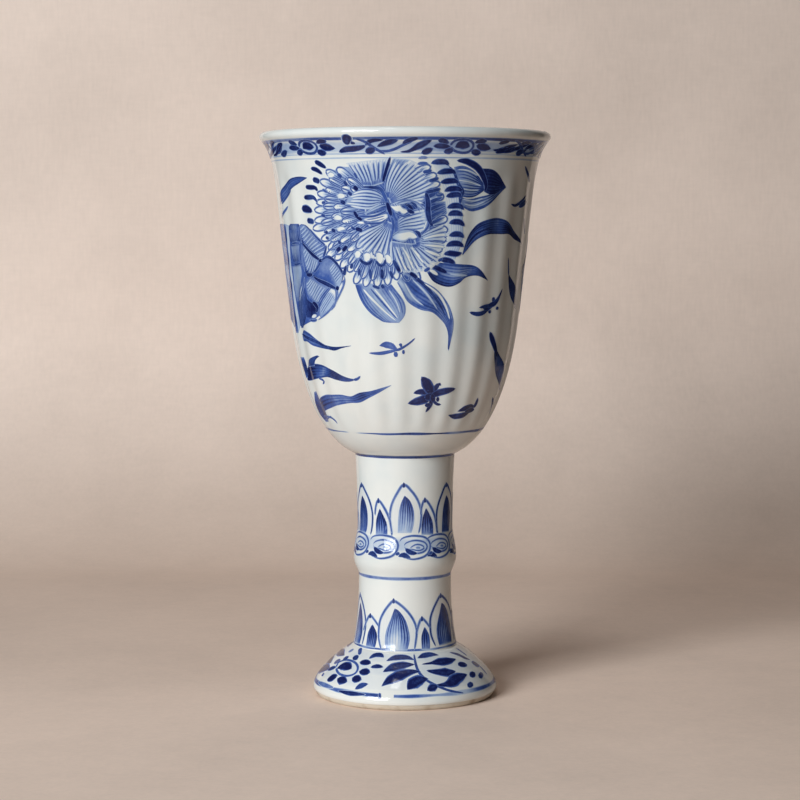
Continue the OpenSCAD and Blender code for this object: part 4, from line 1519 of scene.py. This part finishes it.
LEAF_STROKES = (
    (
        (456.6, 160.6), (466, 161.2), (474.7, 165.4), (480.5, 171), (484.4, 178.7), (486.2, 186.3),
        (484.4, 192.4), (4.4, 5.4, 5.6, 5.4, 5, 4.4, 3), 1.0,
    ),
    ((457, 169.5), (468, 170.5), (479, 176), 1.3, 0.04),
    ((457, 180), (470, 182), (482, 186), 1.3, 0.04),
    ((459, 188), (470, 190), (480, 190), 1.2, 0.06),
    ((462, 199), (474, 201), (484, 198), 1.3, 0.06),
    ((463, 203.5), (474, 205.6), (486, 201), 1.3, 0.06),
    ((466, 248), (474, 237), (482, 231), (491, 228), (2, 2.4, 1.6), 0.95),
    ((429.8, 265.6), (437.4, 268.1), (448, 272.9), (3, 4.4, 3), 0.95),
    ((428.4, 269.4), (433, 271.6), (438.6, 275.4), (2, 3.2, 2), 0.02),
    ((449, 273.6), (458, 275), (468, 275.4), (1.5, 2.2, 1.5), 0.2),
    ((409, 273.5), (421, 282), (431.5, 293), (440.7, 305.6), (446, 317), (4.5, 3.4, 2.8, 2.4, 1.6), 0.85),
    ((404, 282), (413, 297), (424, 306), (1.6, 2, 1.2), 0.06),
    ((412, 279), (426, 293), (438, 310), (1.6, 1.8, 1.2), 0.1),
    ((424, 283), (438, 293.5), (446, 306), (450, 320), (1.6, 2.2, 1.6), 0.04),
    ((362.6, 288.4), (371, 298), (384, 311), (397, 321.4), (2.6, 2.2, 1.6, 1.2), 0.04),
    ((370, 288), (380, 300), (397, 319), 1.4, 0.7),
    ((373.5, 288), (384, 301), (398.6, 319), (2.4, 1.8, 1.2), 0.04),
    ((388, 289), (396, 301), (400.6, 314), 1.4, 0.06),
    ((392, 290), (400, 302), (402.6, 314), 1.2, 0.6),
    ((301, 334), (312, 340), (322, 344.6), (329, 347.4), (3, 3.4, 2), 0.85),
    ((353, 380), (357, 379), (360, 376), (2, 1.8, 1.2), 0.75),
    ((318, 378), (323, 381), (322, 384.4), 1.6, 0.8),
    ((323, 416), (330, 417), (335, 421), (337, 424), 1.5, 0.7),
    ((325, 421), (328, 418), (331, 416), 1.3, 0.65),
    ((490.6, 331.6), (493, 341), (495.6, 350), (497.4, 358), (4.6, 5, 4.6, 4, 2), 0.98),
    ((493, 397), (492, 406), (490, 414), (2.6, 3.2, 2.2), 0.95),
    ((509, 257.5), (509.2, 266), (509.7, 276), (1.4, 1.6, 2), 0.85),
    ((525, 166), (528, 175), (530.6, 182.5), (2.4, 3.2, 2.4), 0.9),
    ((511, 204), (516, 205.6), (521, 202.4), (526, 195.4), (2, 2.6, 2), 0.85),
    ((519.5, 207), (523.5, 203.4), (527, 201), (4, 5, 3), 0.8),
    ((524, 218), (525.4, 226), (525.6, 234), 1.6, 0.8),
    ((282, 204), (285.5, 197), (291, 190), 2.0, 0.75),
    ((281, 218), (284.5, 211), (287, 206), 2.0, 0.6),
)


class STEMCUP_OT_leaves(bpy.types.Operator):
    """Paints the leaves round the flowers, front and back"""

    bl_idname = "stem_cup.leaves"
    bl_label = "Painted leaves"

    def execute(self, context):
        brush = Brush(context.scene.stem_cup_sizes, seed=53)
        for turn in (0.0, BACK_TURN):
            brush.turn(0, turn)
            for i, drawn in enumerate(LEAVES):
                brush.leaf(*drawn, level=0.4 * (i % 4), under=0.3)
            brush.strokes(LEAF_STROKES, level=2, under=0.4)
        brush.finish("painted_leaves", painted_glaze(context.scene.stem_cup_colours))
        return {"FINISHED"}


# Insects on the lower bowl, as strokes
INSECT_STROKES = (
    ((379, 345.8), (385, 344.8), (391, 346), (398, 350), (1.6, 5.2, 5, 1.6), 0.6),
    ((368.5, 353), (380, 353.4), (391, 351.4), (397, 350.2), (1.6, 2.8, 2.4), 0.6),
    ((392, 350), (398, 349.8), (405, 346.2), (411, 342), (415.4, 338), (2.4, 2.2, 1.6, 1.4, 1.6), 0.65),
    ((400, 343.2), (400.6, 345), (401.5, 347.5), (3, 2, 1.2), 0.65),
    ((402, 352), (404.8, 352), 3.2, 0.65),
    ((393.5, 354.6), (398, 354.2), 4.0, 0.65),
    ((470, 312.2), (477, 314), (484, 312.4), (491, 307.4), (3, 3.6, 3.4, 3), 0.85),
    ((483, 308.6), (488.6, 307.6), (495, 304), (3, 4.6, 3), 0.9),
    ((479, 307.7), (486, 306.2), (492, 305.4), (2, 2.8, 3), 0.85),
    ((488, 306), (494, 304), (498, 299), (502.4, 288.6), (4, 4.6, 2.4, 1.4), 0.9),
    ((492.6, 299.6), (495.6, 299.4), 3.6, 0.85),
    ((496, 308.2), (498.6, 308.2), 2.6, 0.8),
    ((489, 312), (492, 311.6), 2.6, 0.8),
    ((421.4, 376.6), (425.5, 382), (429, 388), (432.6, 396), (4, 8.5, 8.5, 5), 1.0),
    ((430, 397), (438, 393.2), (448, 390.4), (456, 388.6), (5, 6, 5.4, 3), 1.0),
    ((432.6, 396), (435.6, 388.4), (439.4, 384.4), (441.6, 385.4), (4, 4.6, 4, 3), 0.98),
    ((413.4, 393.4), (420, 391.8), (426, 392.8), (433.4, 396.4), (3, 5, 5.4, 4), 1.0),
    ((407.6, 403.6), (415, 402), (422, 400), (433, 395.4), (3, 6.8, 8, 5), 1.0),
    ((424, 397.4), (430, 396.6), (436, 395.4), 6.4, 1.0),
    ((432.6, 394), (432.8, 398), (434.4, 402.4), (4, 4.6, 3), 1.0),
    ((431.4, 398), (431, 404), (428, 409), (425.4, 412.4), (4, 3.2, 2), 1.0),
    ((433, 400), (437, 404), (441.4, 404.6), (2.6, 2.4, 2.2), 0.95),
    ((436.4, 399.6), (439.8, 399.2), 4.0, 1.0),
    ((424.6, 405.4), (431, 404.6), 3.4, 1.0),
    ((448.4, 415), (455, 416.4), (463, 415), (470.4, 412), (2, 5, 5, 2.4), 1.0),
    ((458, 411.6), (465, 408.4), (472, 406.6), (475.4, 407.2), (2, 5, 5, 3), 1.0),
    ((474, 408.4), (477, 403), (478.6, 397.6), (3.4, 2.8, 1.8), 0.95),
    ((464, 413.4), (469, 410.6), (475, 409.6), (4, 5, 4), 0.98),
)


class STEMCUP_OT_insects(bpy.types.Operator):
    """Paints the small insects under the flowers, front and back"""

    bl_idname = "stem_cup.insects"
    bl_label = "Painted insects"

    def execute(self, context):
        brush = Brush(context.scene.stem_cup_sizes, seed=61)
        for turn in (0.0, BACK_TURN):
            brush.turn(0, turn)
            brush.strokes(INSECT_STROKES, level=2, under=0.5)
        brush.finish("painted_insects", painted_glaze(context.scene.stem_cup_colours))
        return {"FINISHED"}


# Bands of the stem: pointed lappets, great and small by turns, and a row of eyes round the knop
UPPER_GREAT = {
    "outline": (
        (392, 533.5), (390, 517.6), (391.5, 505.3), (397, 493.5), (403.8, 484.6), (411.4, 491),
        (417.6, 500), (421, 511.4), (420.6, 523.7), (418.4, 534),
    ),
    "tip": (403.8, 484.6),
    "heart": (
        ((397.7, 533), (398.2, 517.6), (400.2, 505.3), (404.4, 495.6)),
        ((411.4, 533), (414, 523.7), (414, 511.4), (410.4, 501.2), (404.8, 495.6)),
    ),
    "tones": ((0.2, 0.12, 0.3), (0.4, 0.25, 0.45), (0.5, 0.45, 0.7), (0.7, 0.75, 0.9), (0.9, 0.95, 0.95)),
}
UPPER_SMALL = {
    "outline": (
        (420.6, 516), (421.6, 507), (424.8, 499.6), (430, 505.6), (434.4, 515.5), (436.4, 527.8),
        (436.8, 534),
    ),
    "tip": (424.8, 499.6),
    "heart": (((421.4, 535), (421.6, 521), (425.8, 508)), ((433.2, 535), (432.6, 521.4), (426.4, 508))),
    "tones": ((0.25, 0.2, 0.45), (0.6, 0.5, 0.7), (0.9, 0.85, 0.95), (0.95, 0.95, 0.95)),
}
LOWER_GREAT = {
    "outline": (
        (381.5, 650.5), (379, 639.7), (378.8, 631), (380, 621), (384, 612), (389.8, 604), (393.6, 601),
        (398.4, 603.4), (405.5, 609.4), (412, 617.6), (415.9, 626.4), (416.6, 634), (414.4, 650.5),
    ),
    "tip": (393.6, 600.4),
    "heart": (
        ((385.8, 650.5), (384.8, 639.7), (386.4, 629.8), (390.6, 619), (394.6, 608.4)),
        ((407.4, 650.5), (410, 639.7), (408.8, 629.8), (405.5, 619.8), (399.7, 611.5), (395, 608.4)),
    ),
    "tones": (
        (0.4, 0.12, 0.1, 0.2, 0.5), (0.45, 0.2, 0.1, 0.4, 0.75), (0.5, 0.4, 0.3, 0.6, 0.8),
        (0.5, 0.55, 0.6, 0.8, 0.9), (0.85, 0.85, 0.85, 0.85, 0.85),
    ),
}
LOWER_SMALL = {
    "outline": ((415.6, 636), (418.6, 624.6), (421.8, 618.4), (426.4, 622.6), (430.4, 628.4)),
    "tip": (421.8, 618.2),
    "heart": (((421.8, 650), (421.2, 637), (424.2, 627)), ((430, 650), (429.4, 636), (425, 627))),
    "tones": ((0.4, 0.3, 0.5), (0.8, 0.7, 0.85), (0.95, 0.95, 1.0), (0.95, 0.95, 0.95)),
}
# Kinds of lappet, the angle each is drawn at, then angles, rises in pixels, added tones and breadths
LAPPETS = (
    (
        UPPER_SMALL, 24.0, (-33, -1, 0.05, 1), (24, 0, 0.12, 1), (89, 0, 0.1, 1), (149, 0, 0, 1),
        (209, 0, 0, 1), (270, 0, 0, 1),
    ),
    (
        UPPER_GREAT, -1.0, (-62.5, -3, 0.3, 1), (-1, 0, 0, 1), (57.5, -2.4, 0.5, 1), (119, 0, 0, 1),
        (179, 0, 0, 1), (238, 0, 0.1, 1),
    ),
    (
        LOWER_SMALL, 20.3, (-46.5, 1, 0, 1.4), (20.3, 0, 0, 1), (80, 0, 0, 1), (137, 0, 0, 1),
        (196, 0, 0, 1), (254, 0, 0, 1),
    ),
    (
        LOWER_GREAT, -14.0, (-73, 1, 0.25, 0.7), (-14, 0, 0, 1), (49, 3, 0.35, 1), (110, 0, 0, 1),
        (167, 0, 0, 1), (226, 0, 0, 1),
    ),
)
EYES = (-98, -63, -24, 14, 46, 82, 118, 154, 190, 226)
EYE_DRAWN, EYE_RISE = 14.0, -1.5
EYE_LINES = (
    (
        (399.4, 541), (401.4, 537.6), (406.3, 535.4), (414.5, 534.4), (424.7, 535.9), (429.8, 542),
        (428.8, 550.2), (423.7, 555.3), (413.5, 557.9), (404, 556.4), 1.8, 0.72,
    ),
    (
        (404, 545), (406, 541.6), (414.5, 539), (423.7, 540.5), (427, 545.1), (423.7, 550.2),
        (415.5, 551.9), (408, 549.4), (404, 545), 1.6, 0.7,
    ),
    (
        (409.4, 547.1), (415.5, 543.2), (421.6, 543.8), (424, 546.6), (418.6, 549.2), (409.4, 547.1),
        1.4, 0.7,
    ),
    ((415.5, 546.5), (418, 546.2), (420.4, 546.6), 1.8, 0.5),
    ((405, 546.4), (408.4, 549.8), (413, 551.6), (418, 551.8), (2, 4.8, 3.8, 1.6), 0.88),
    ((398, 555.4), (403.5, 553.6), (411, 557), (2, 5, 2), 0.85),
    ((429, 553), (430.5, 551.4), (432.4, 550.6), 2.6, 0.75),
)


class STEMCUP_OT_bands(bpy.types.Operator):
    """Paints the lappets of the stem and the eyes round the knop"""

    bl_idname = "stem_cup.bands"
    bl_label = "Painted stem bands"

    def execute(self, context):
        brush = Brush(context.scene.stem_cup_sizes, seed=71)
        for kind, drawn, *places in LAPPETS:
            for angle, rise, depth, breadth in places:
                brush.turn(drawn, angle, breadth, rise * PIXEL_MM)
                tones = tuple(tuple(min(1.0, tone + depth) for tone in row) for row in kind["tones"])
                line = kind["outline"]
                top = line.index(min(line, key=lambda pixel: pixel[1]))
                sides = line[: top + 1], line[: top - 1 : -1]
                brush.leaf(*sides, (0.07, 0.06, 0.05), streaks=0.3, level=-0.6, under=0.03)
                brush.leaf(*kind["heart"], tones, streaks=0.8, under=0.15)
                widths, tone = (1.6, 1.8, 2.1, 1.8, 1.6), min(1.0, 0.68 + depth)
                brush.stroke(line, widths, tone, level=2.5, under=0.2, ends=14)
                x, y = kind["tip"]
                bead = (x, y - 2.4), (x, y + 0.4), (x, y + 3.4)
                brush.stroke(bead, width=(1.2, 2.6, 2.8), tone=0.85, level=4, under=0.3)
        for angle in EYES:
            brush.turn(EYE_DRAWN, angle, 1.0, EYE_RISE * PIXEL_MM)
            brush.strokes(EYE_LINES, level=2, under=0.2)
        brush.finish("painted_bands", painted_glaze(context.scene.stem_cup_colours))
        return {"FINISHED"}


# Foot: angles of its leafy sprays and ring flowers, then their strokes and the loose dabs
FOOT_SPRAYS, FOOT_FLOWERS = (0, 120, 240), (0, 240)
FOOT_FLOWER = (
    ((336.6, 668.8), (341, 666.6), (346, 666.2), (351.6, 669), (2.5, 7.5, 8, 4), 1.0),
    ((352.8, 660), (356, 657.6), (359, 656), (5, 6.4, 4), 0.95),
    ((343.4, 658.6), (348.4, 658), 4.4, 0.8),
    ((332, 663.6), (336.4, 661.8), (340.6, 660.6), (4, 5, 3.4), 0.8),
    ((326.6, 670), (331, 668.6), (336, 667.6), (2.4, 4.4, 3), 0.85),
    ((359.6, 662.2), (365, 662.4), (371, 663.6), (4, 5.6, 3.6), 1.0),
    ((359, 671.4), (365, 672), (370.4, 672.6), (4, 6.4, 4.6), 1.0),
    ((352, 678), (356.6, 679), (361.8, 680), (5, 6.6, 3.4), 1.0),
    ((337.4, 678.6), (342, 680.4), (347.4, 682), (3.4, 7.6, 3), 1.0),
    ((327, 680), (332, 678), (337.8, 675.6), (3.6, 7, 4), 1.0),
    ((319.4, 676.4), (323, 673), 4.0, 0.75),
    ((348.6, 652.6), (351, 650.8), (353.8, 649.6), 3.6, 0.5),
    ((360.4, 647.8), (360, 651.4), (359.8, 655.2), 3.0, 0.75),
    ((369, 659), (374.6, 655.4), (380, 655.2), (384, 657.6), (2.4, 4.6, 4.6, 2), 0.85),
    ((370.4, 667.4), (377, 666.4), (383.4, 667.4), (2.6, 4, 2), 0.95),
    ((354.8, 689.4), (361, 685.8), (368.4, 684), (2.4, 4.8, 2), 0.8),
)
FOOT_RING_PX = (
    (336, 668), (339, 662.4), (347, 660), (355, 662.6), (358, 668), (355, 673.6), (347, 676), (339, 673.6),
    (336, 668),
)
FOOT_SPRAY = (
    (
        (413.8, 653.6), (415.8, 664.5), (419.3, 672.9), (426.3, 680), (434.7, 684.8), (448.7, 690.4),
        (464, 693.2), 2.2, 0.75,
    ),
    ((386.2, 661.2), (395.4, 657.8), (406.6, 657.6), (414.4, 660.3), (2.4, 6, 5.4, 2), 0.9),
    ((382.8, 672.2), (391.2, 668.2), (402.4, 665.4), (415, 664.5), (2.6, 8.2, 7, 2), 0.97),
    (
        (381.4, 686.6), (389.8, 680.2), (402.4, 674.4), (412, 672), (420.7, 671.5),
        (2.4, 8, 9.4, 6, 2.4), 0.97,
    ),
    ((407.3, 690), (412.2, 684.4), (419.3, 680.2), (428.4, 678.8), (3.4, 10, 9, 2.4), 0.97),
    ((417.2, 658.4), (424.9, 655.5), (431.9, 654.4), (438.9, 655.3), (2, 5.4, 4.8, 1.6), 0.9),
    (
        (421.4, 664.5), (433.3, 663), (443.1, 661.7), (450, 660.4), (455.7, 658.9),
        (1.8, 2.6, 7.8, 7, 2.4), 0.97,
    ),
    ((426.3, 670.6), (433.3, 671.8), (445.9, 672.6), (455.7, 671.2), (3, 5.4, 8.6, 3), 0.97),
    ((434.7, 685.5), (448.7, 684.1), (455.7, 679.2), (461, 676.4), (467, 674.3), (2, 4.2, 9.6, 8, 3), 0.97),
    ((427, 690.8), (432.6, 687.6), (438.2, 685.5), (3, 6.6, 3), 0.97),
)
FOOT_DABS = (
    ((458, 665.6), (462, 664.6), (467, 664.4), (4.4, 6, 4.4), 0.97),
    ((471.4, 662.6), (476, 664.4), (480.6, 666.6), (4.4, 7, 4.4), 0.9),
    ((470, 677), (472, 675), (474.6, 672.4), (4, 5.4, 4), 0.97),
    ((479, 678), (480.6, 675.6), (482.4, 673), 4.2, 0.9),
    ((467.6, 687), (470, 685), (472.6, 683), 4.4, 0.9),
    ((449.4, 652.4), (458, 654.6), (464, 657.6), (470, 659.8), (2.4, 3.4, 3.8, 2), 0.9),
    ((461, 648.4), (465, 652), (468.4, 656), 1.8, 0.7),
    ((484.6, 664), (487.6, 669), (490, 674.6), 2.0, 0.6),
)
FOOT_EDGE_DABS = (
    ((338, 690.8), (350, 693.4), (366, 694.6), (2, 4.6, 2.6), 0.9),
    ((379.4, 692.6), (379.8, 696), (379.6, 700), 2.6, 0.75),
    ((317.4, 681.6), (325, 685.2), (334, 688), (3, 4.6, 3), 0.5),
)


class STEMCUP_OT_spray(bpy.types.Operator):
    """Paints the ring flowers, leafy sprays and loose dabs on the foot"""

    bl_idname = "stem_cup.spray"
    bl_label = "Painted foot"

    def execute(self, context):
        brush = Brush(context.scene.stem_cup_sizes, seed=83)
        for angle in FOOT_SPRAYS:
            brush.turn(0, angle)
            brush.strokes(FOOT_SPRAY, under=0.4, bold=1.1)
            if angle in FOOT_FLOWERS:
                brush.stroke(FOOT_RING_PX, width=2.3, tone=0.64, level=2, under=0.15, ends=40)
                brush.strokes(FOOT_FLOWER, under=0.4, bold=1.15)
        brush.turn()
        brush.strokes(FOOT_DABS, under=0.4)
        brush.strokes(FOOT_EDGE_DABS)
        brush.finish("painted_spray", painted_glaze(context.scene.stem_cup_colours))
        return {"FINISHED"}


# Stage
class STEMCUP_OT_stage(bpy.types.Operator):
    """Sets up the paper sweep, the soft window light and the camera"""

    bl_idname = "stem_cup.stage"
    bl_label = "Stage"

    def execute(self, context):
        scene, colours = context.scene, context.scene.stem_cup_colours
        bm = bmesh.new()
        bend, wall, front, high, left, right = 0.1, 0.3, -0.35, 0.8, -0.21, 0.28
        fold = arc((wall - bend, bend), bend, -90, 0, 12)
        line = [(front, 0.0), (wall - bend, 0.0), *fold, (wall, high)]
        corners = [bm.verts.new((left, y, z)) for y, z in line]
        edges = [bm.edges.new(pair) for pair in zip(corners, corners[1:])]
        swept = bmesh.ops.extrude_edge_only(bm, edges=edges)["geom"]
        far = [part for part in swept if isinstance(part, bmesh.types.BMVert)]
        bmesh.ops.translate(bm, vec=(right - left, 0, 0), verts=far)
        bmesh.ops.recalc_face_normals(bm, faces=bm.faces)
        if sum(face.normal.z for face in bm.faces) < 0:
            bmesh.ops.reverse_faces(bm, faces=bm.faces)
        mesh = bpy.data.meshes.new("backdrop")
        bm.to_mesh(mesh)
        bm.free()
        mesh.materials.append(paper(colours))
        mesh.shade_smooth()
        backdrop = bpy.data.objects.new("backdrop", mesh)
        scene.collection.objects.link(backdrop)

        window = self.lamp("window", place=(-0.73, -1.01, 0.52), target=(0, 0, 0.08), size=(0.62, 0.54))
        window.energy, window.color = 17.8, (0.95, 0.985, 1)
        ceiling = self.lamp("ceiling", place=(-0.2, -0.46, 1.28), target=(0, 0, 0.03), size=(0.18, 0.3))
        ceiling.energy, ceiling.color = 1.0, (1, 0.985, 0.97)
        world = bpy.data.worlds.new("room")
        scene.world = world
        world.use_nodes = True
        world.node_tree.nodes.clear()
        room = Socket(world.node_tree)
        dim, behind = (0.017, 0.0164, 0.016, 1), (0.6, 0.5, 0.43, 1)
        light = room.node("LightPath", out="Is Camera Ray").mix(dim, behind)
        room.node("OutputWorld", inputs={"Surface": room.node("Background", inputs={"Color": light})})

        camera = bpy.data.objects.new("camera", bpy.data.cameras.new("camera"))
        camera.data.sensor_width = SENSOR_MM
        camera.data.lens = FOCAL_PX * SENSOR_MM / FRAME_PX
        camera.location = Vector((CAMERA_SIDE, -CAMERA_BACK, CAMERA_HEIGHT)) * MM
        camera.rotation_euler = (math.pi / 2 - CAMERA_PITCH, 0, 0)
        scene.collection.objects.link(camera)
        scene.camera = camera
        scene.view_settings.view_transform = "Standard"
        return {"FINISHED"}

    def lamp(self, name, place, target, size):
        """A soft rectangular lamp that faces a target, unseen by the camera."""
        lamp = bpy.data.objects.new(name, bpy.data.lights.new(name, "AREA"))
        lamp.data.shape = "RECTANGLE"
        lamp.data.size, lamp.data.size_y = size
        lamp.location = place
        lamp.rotation_euler = (Vector(target) - Vector(place)).to_track_quat("-Z", "Y").to_euler()
        lamp.visible_camera = False
        bpy.context.scene.collection.objects.link(lamp)
        return lamp.data


class STEMCUP_PT_panel(bpy.types.Panel):
    """Lists the cup's pieces, sizes and colours"""

    bl_idname = "STEMCUP_PT_panel"
    bl_label = "Stem Cup"
    bl_space_type = "VIEW_3D"
    bl_region_type = "UI"
    bl_category = "Stem Cup"

    def draw(self, context):
        for made in OPERATORS:
            self.layout.operator(made.bl_idname)
        for group in (context.scene.stem_cup_sizes, context.scene.stem_cup_colours):
            for name in group.__annotations__:
                self.layout.prop(group, name)


OPERATORS = (
    STEMCUP_OT_stage,
    STEMCUP_OT_bowl,
    STEMCUP_OT_stem,
    STEMCUP_OT_foot,
    STEMCUP_OT_lines,
    STEMCUP_OT_border,
    STEMCUP_OT_flower,
    STEMCUP_OT_side_flower,
    STEMCUP_OT_leaves,
    STEMCUP_OT_insects,
    STEMCUP_OT_bands,
    STEMCUP_OT_spray,
)
CLASSES = (StemCupSizes, StemCupColours, *OPERATORS, STEMCUP_PT_panel)


def register():
    for made in CLASSES:
        bpy.utils.register_class(made)
    bpy.types.Scene.stem_cup_sizes = PointerProperty(type=StemCupSizes)
    bpy.types.Scene.stem_cup_colours = PointerProperty(type=StemCupColours)


def unregister():
    del bpy.types.Scene.stem_cup_sizes, bpy.types.Scene.stem_cup_colours
    for made in reversed(CLASSES):
        bpy.utils.unregister_class(made)


def main():
    """Builds every piece in order."""
    register()
    bpy.ops.stem_cup.stage()
    bpy.ops.stem_cup.bowl()
    bpy.ops.stem_cup.stem()
    bpy.ops.stem_cup.foot()
    bpy.ops.stem_cup.lines()
    bpy.ops.stem_cup.border()
    bpy.ops.stem_cup.flower()
    bpy.ops.stem_cup.side_flower()
    bpy.ops.stem_cup.leaves()
    bpy.ops.stem_cup.insects()
    bpy.ops.stem_cup.bands()
    bpy.ops.stem_cup.spray()


if __name__ == "__main__":
    main()
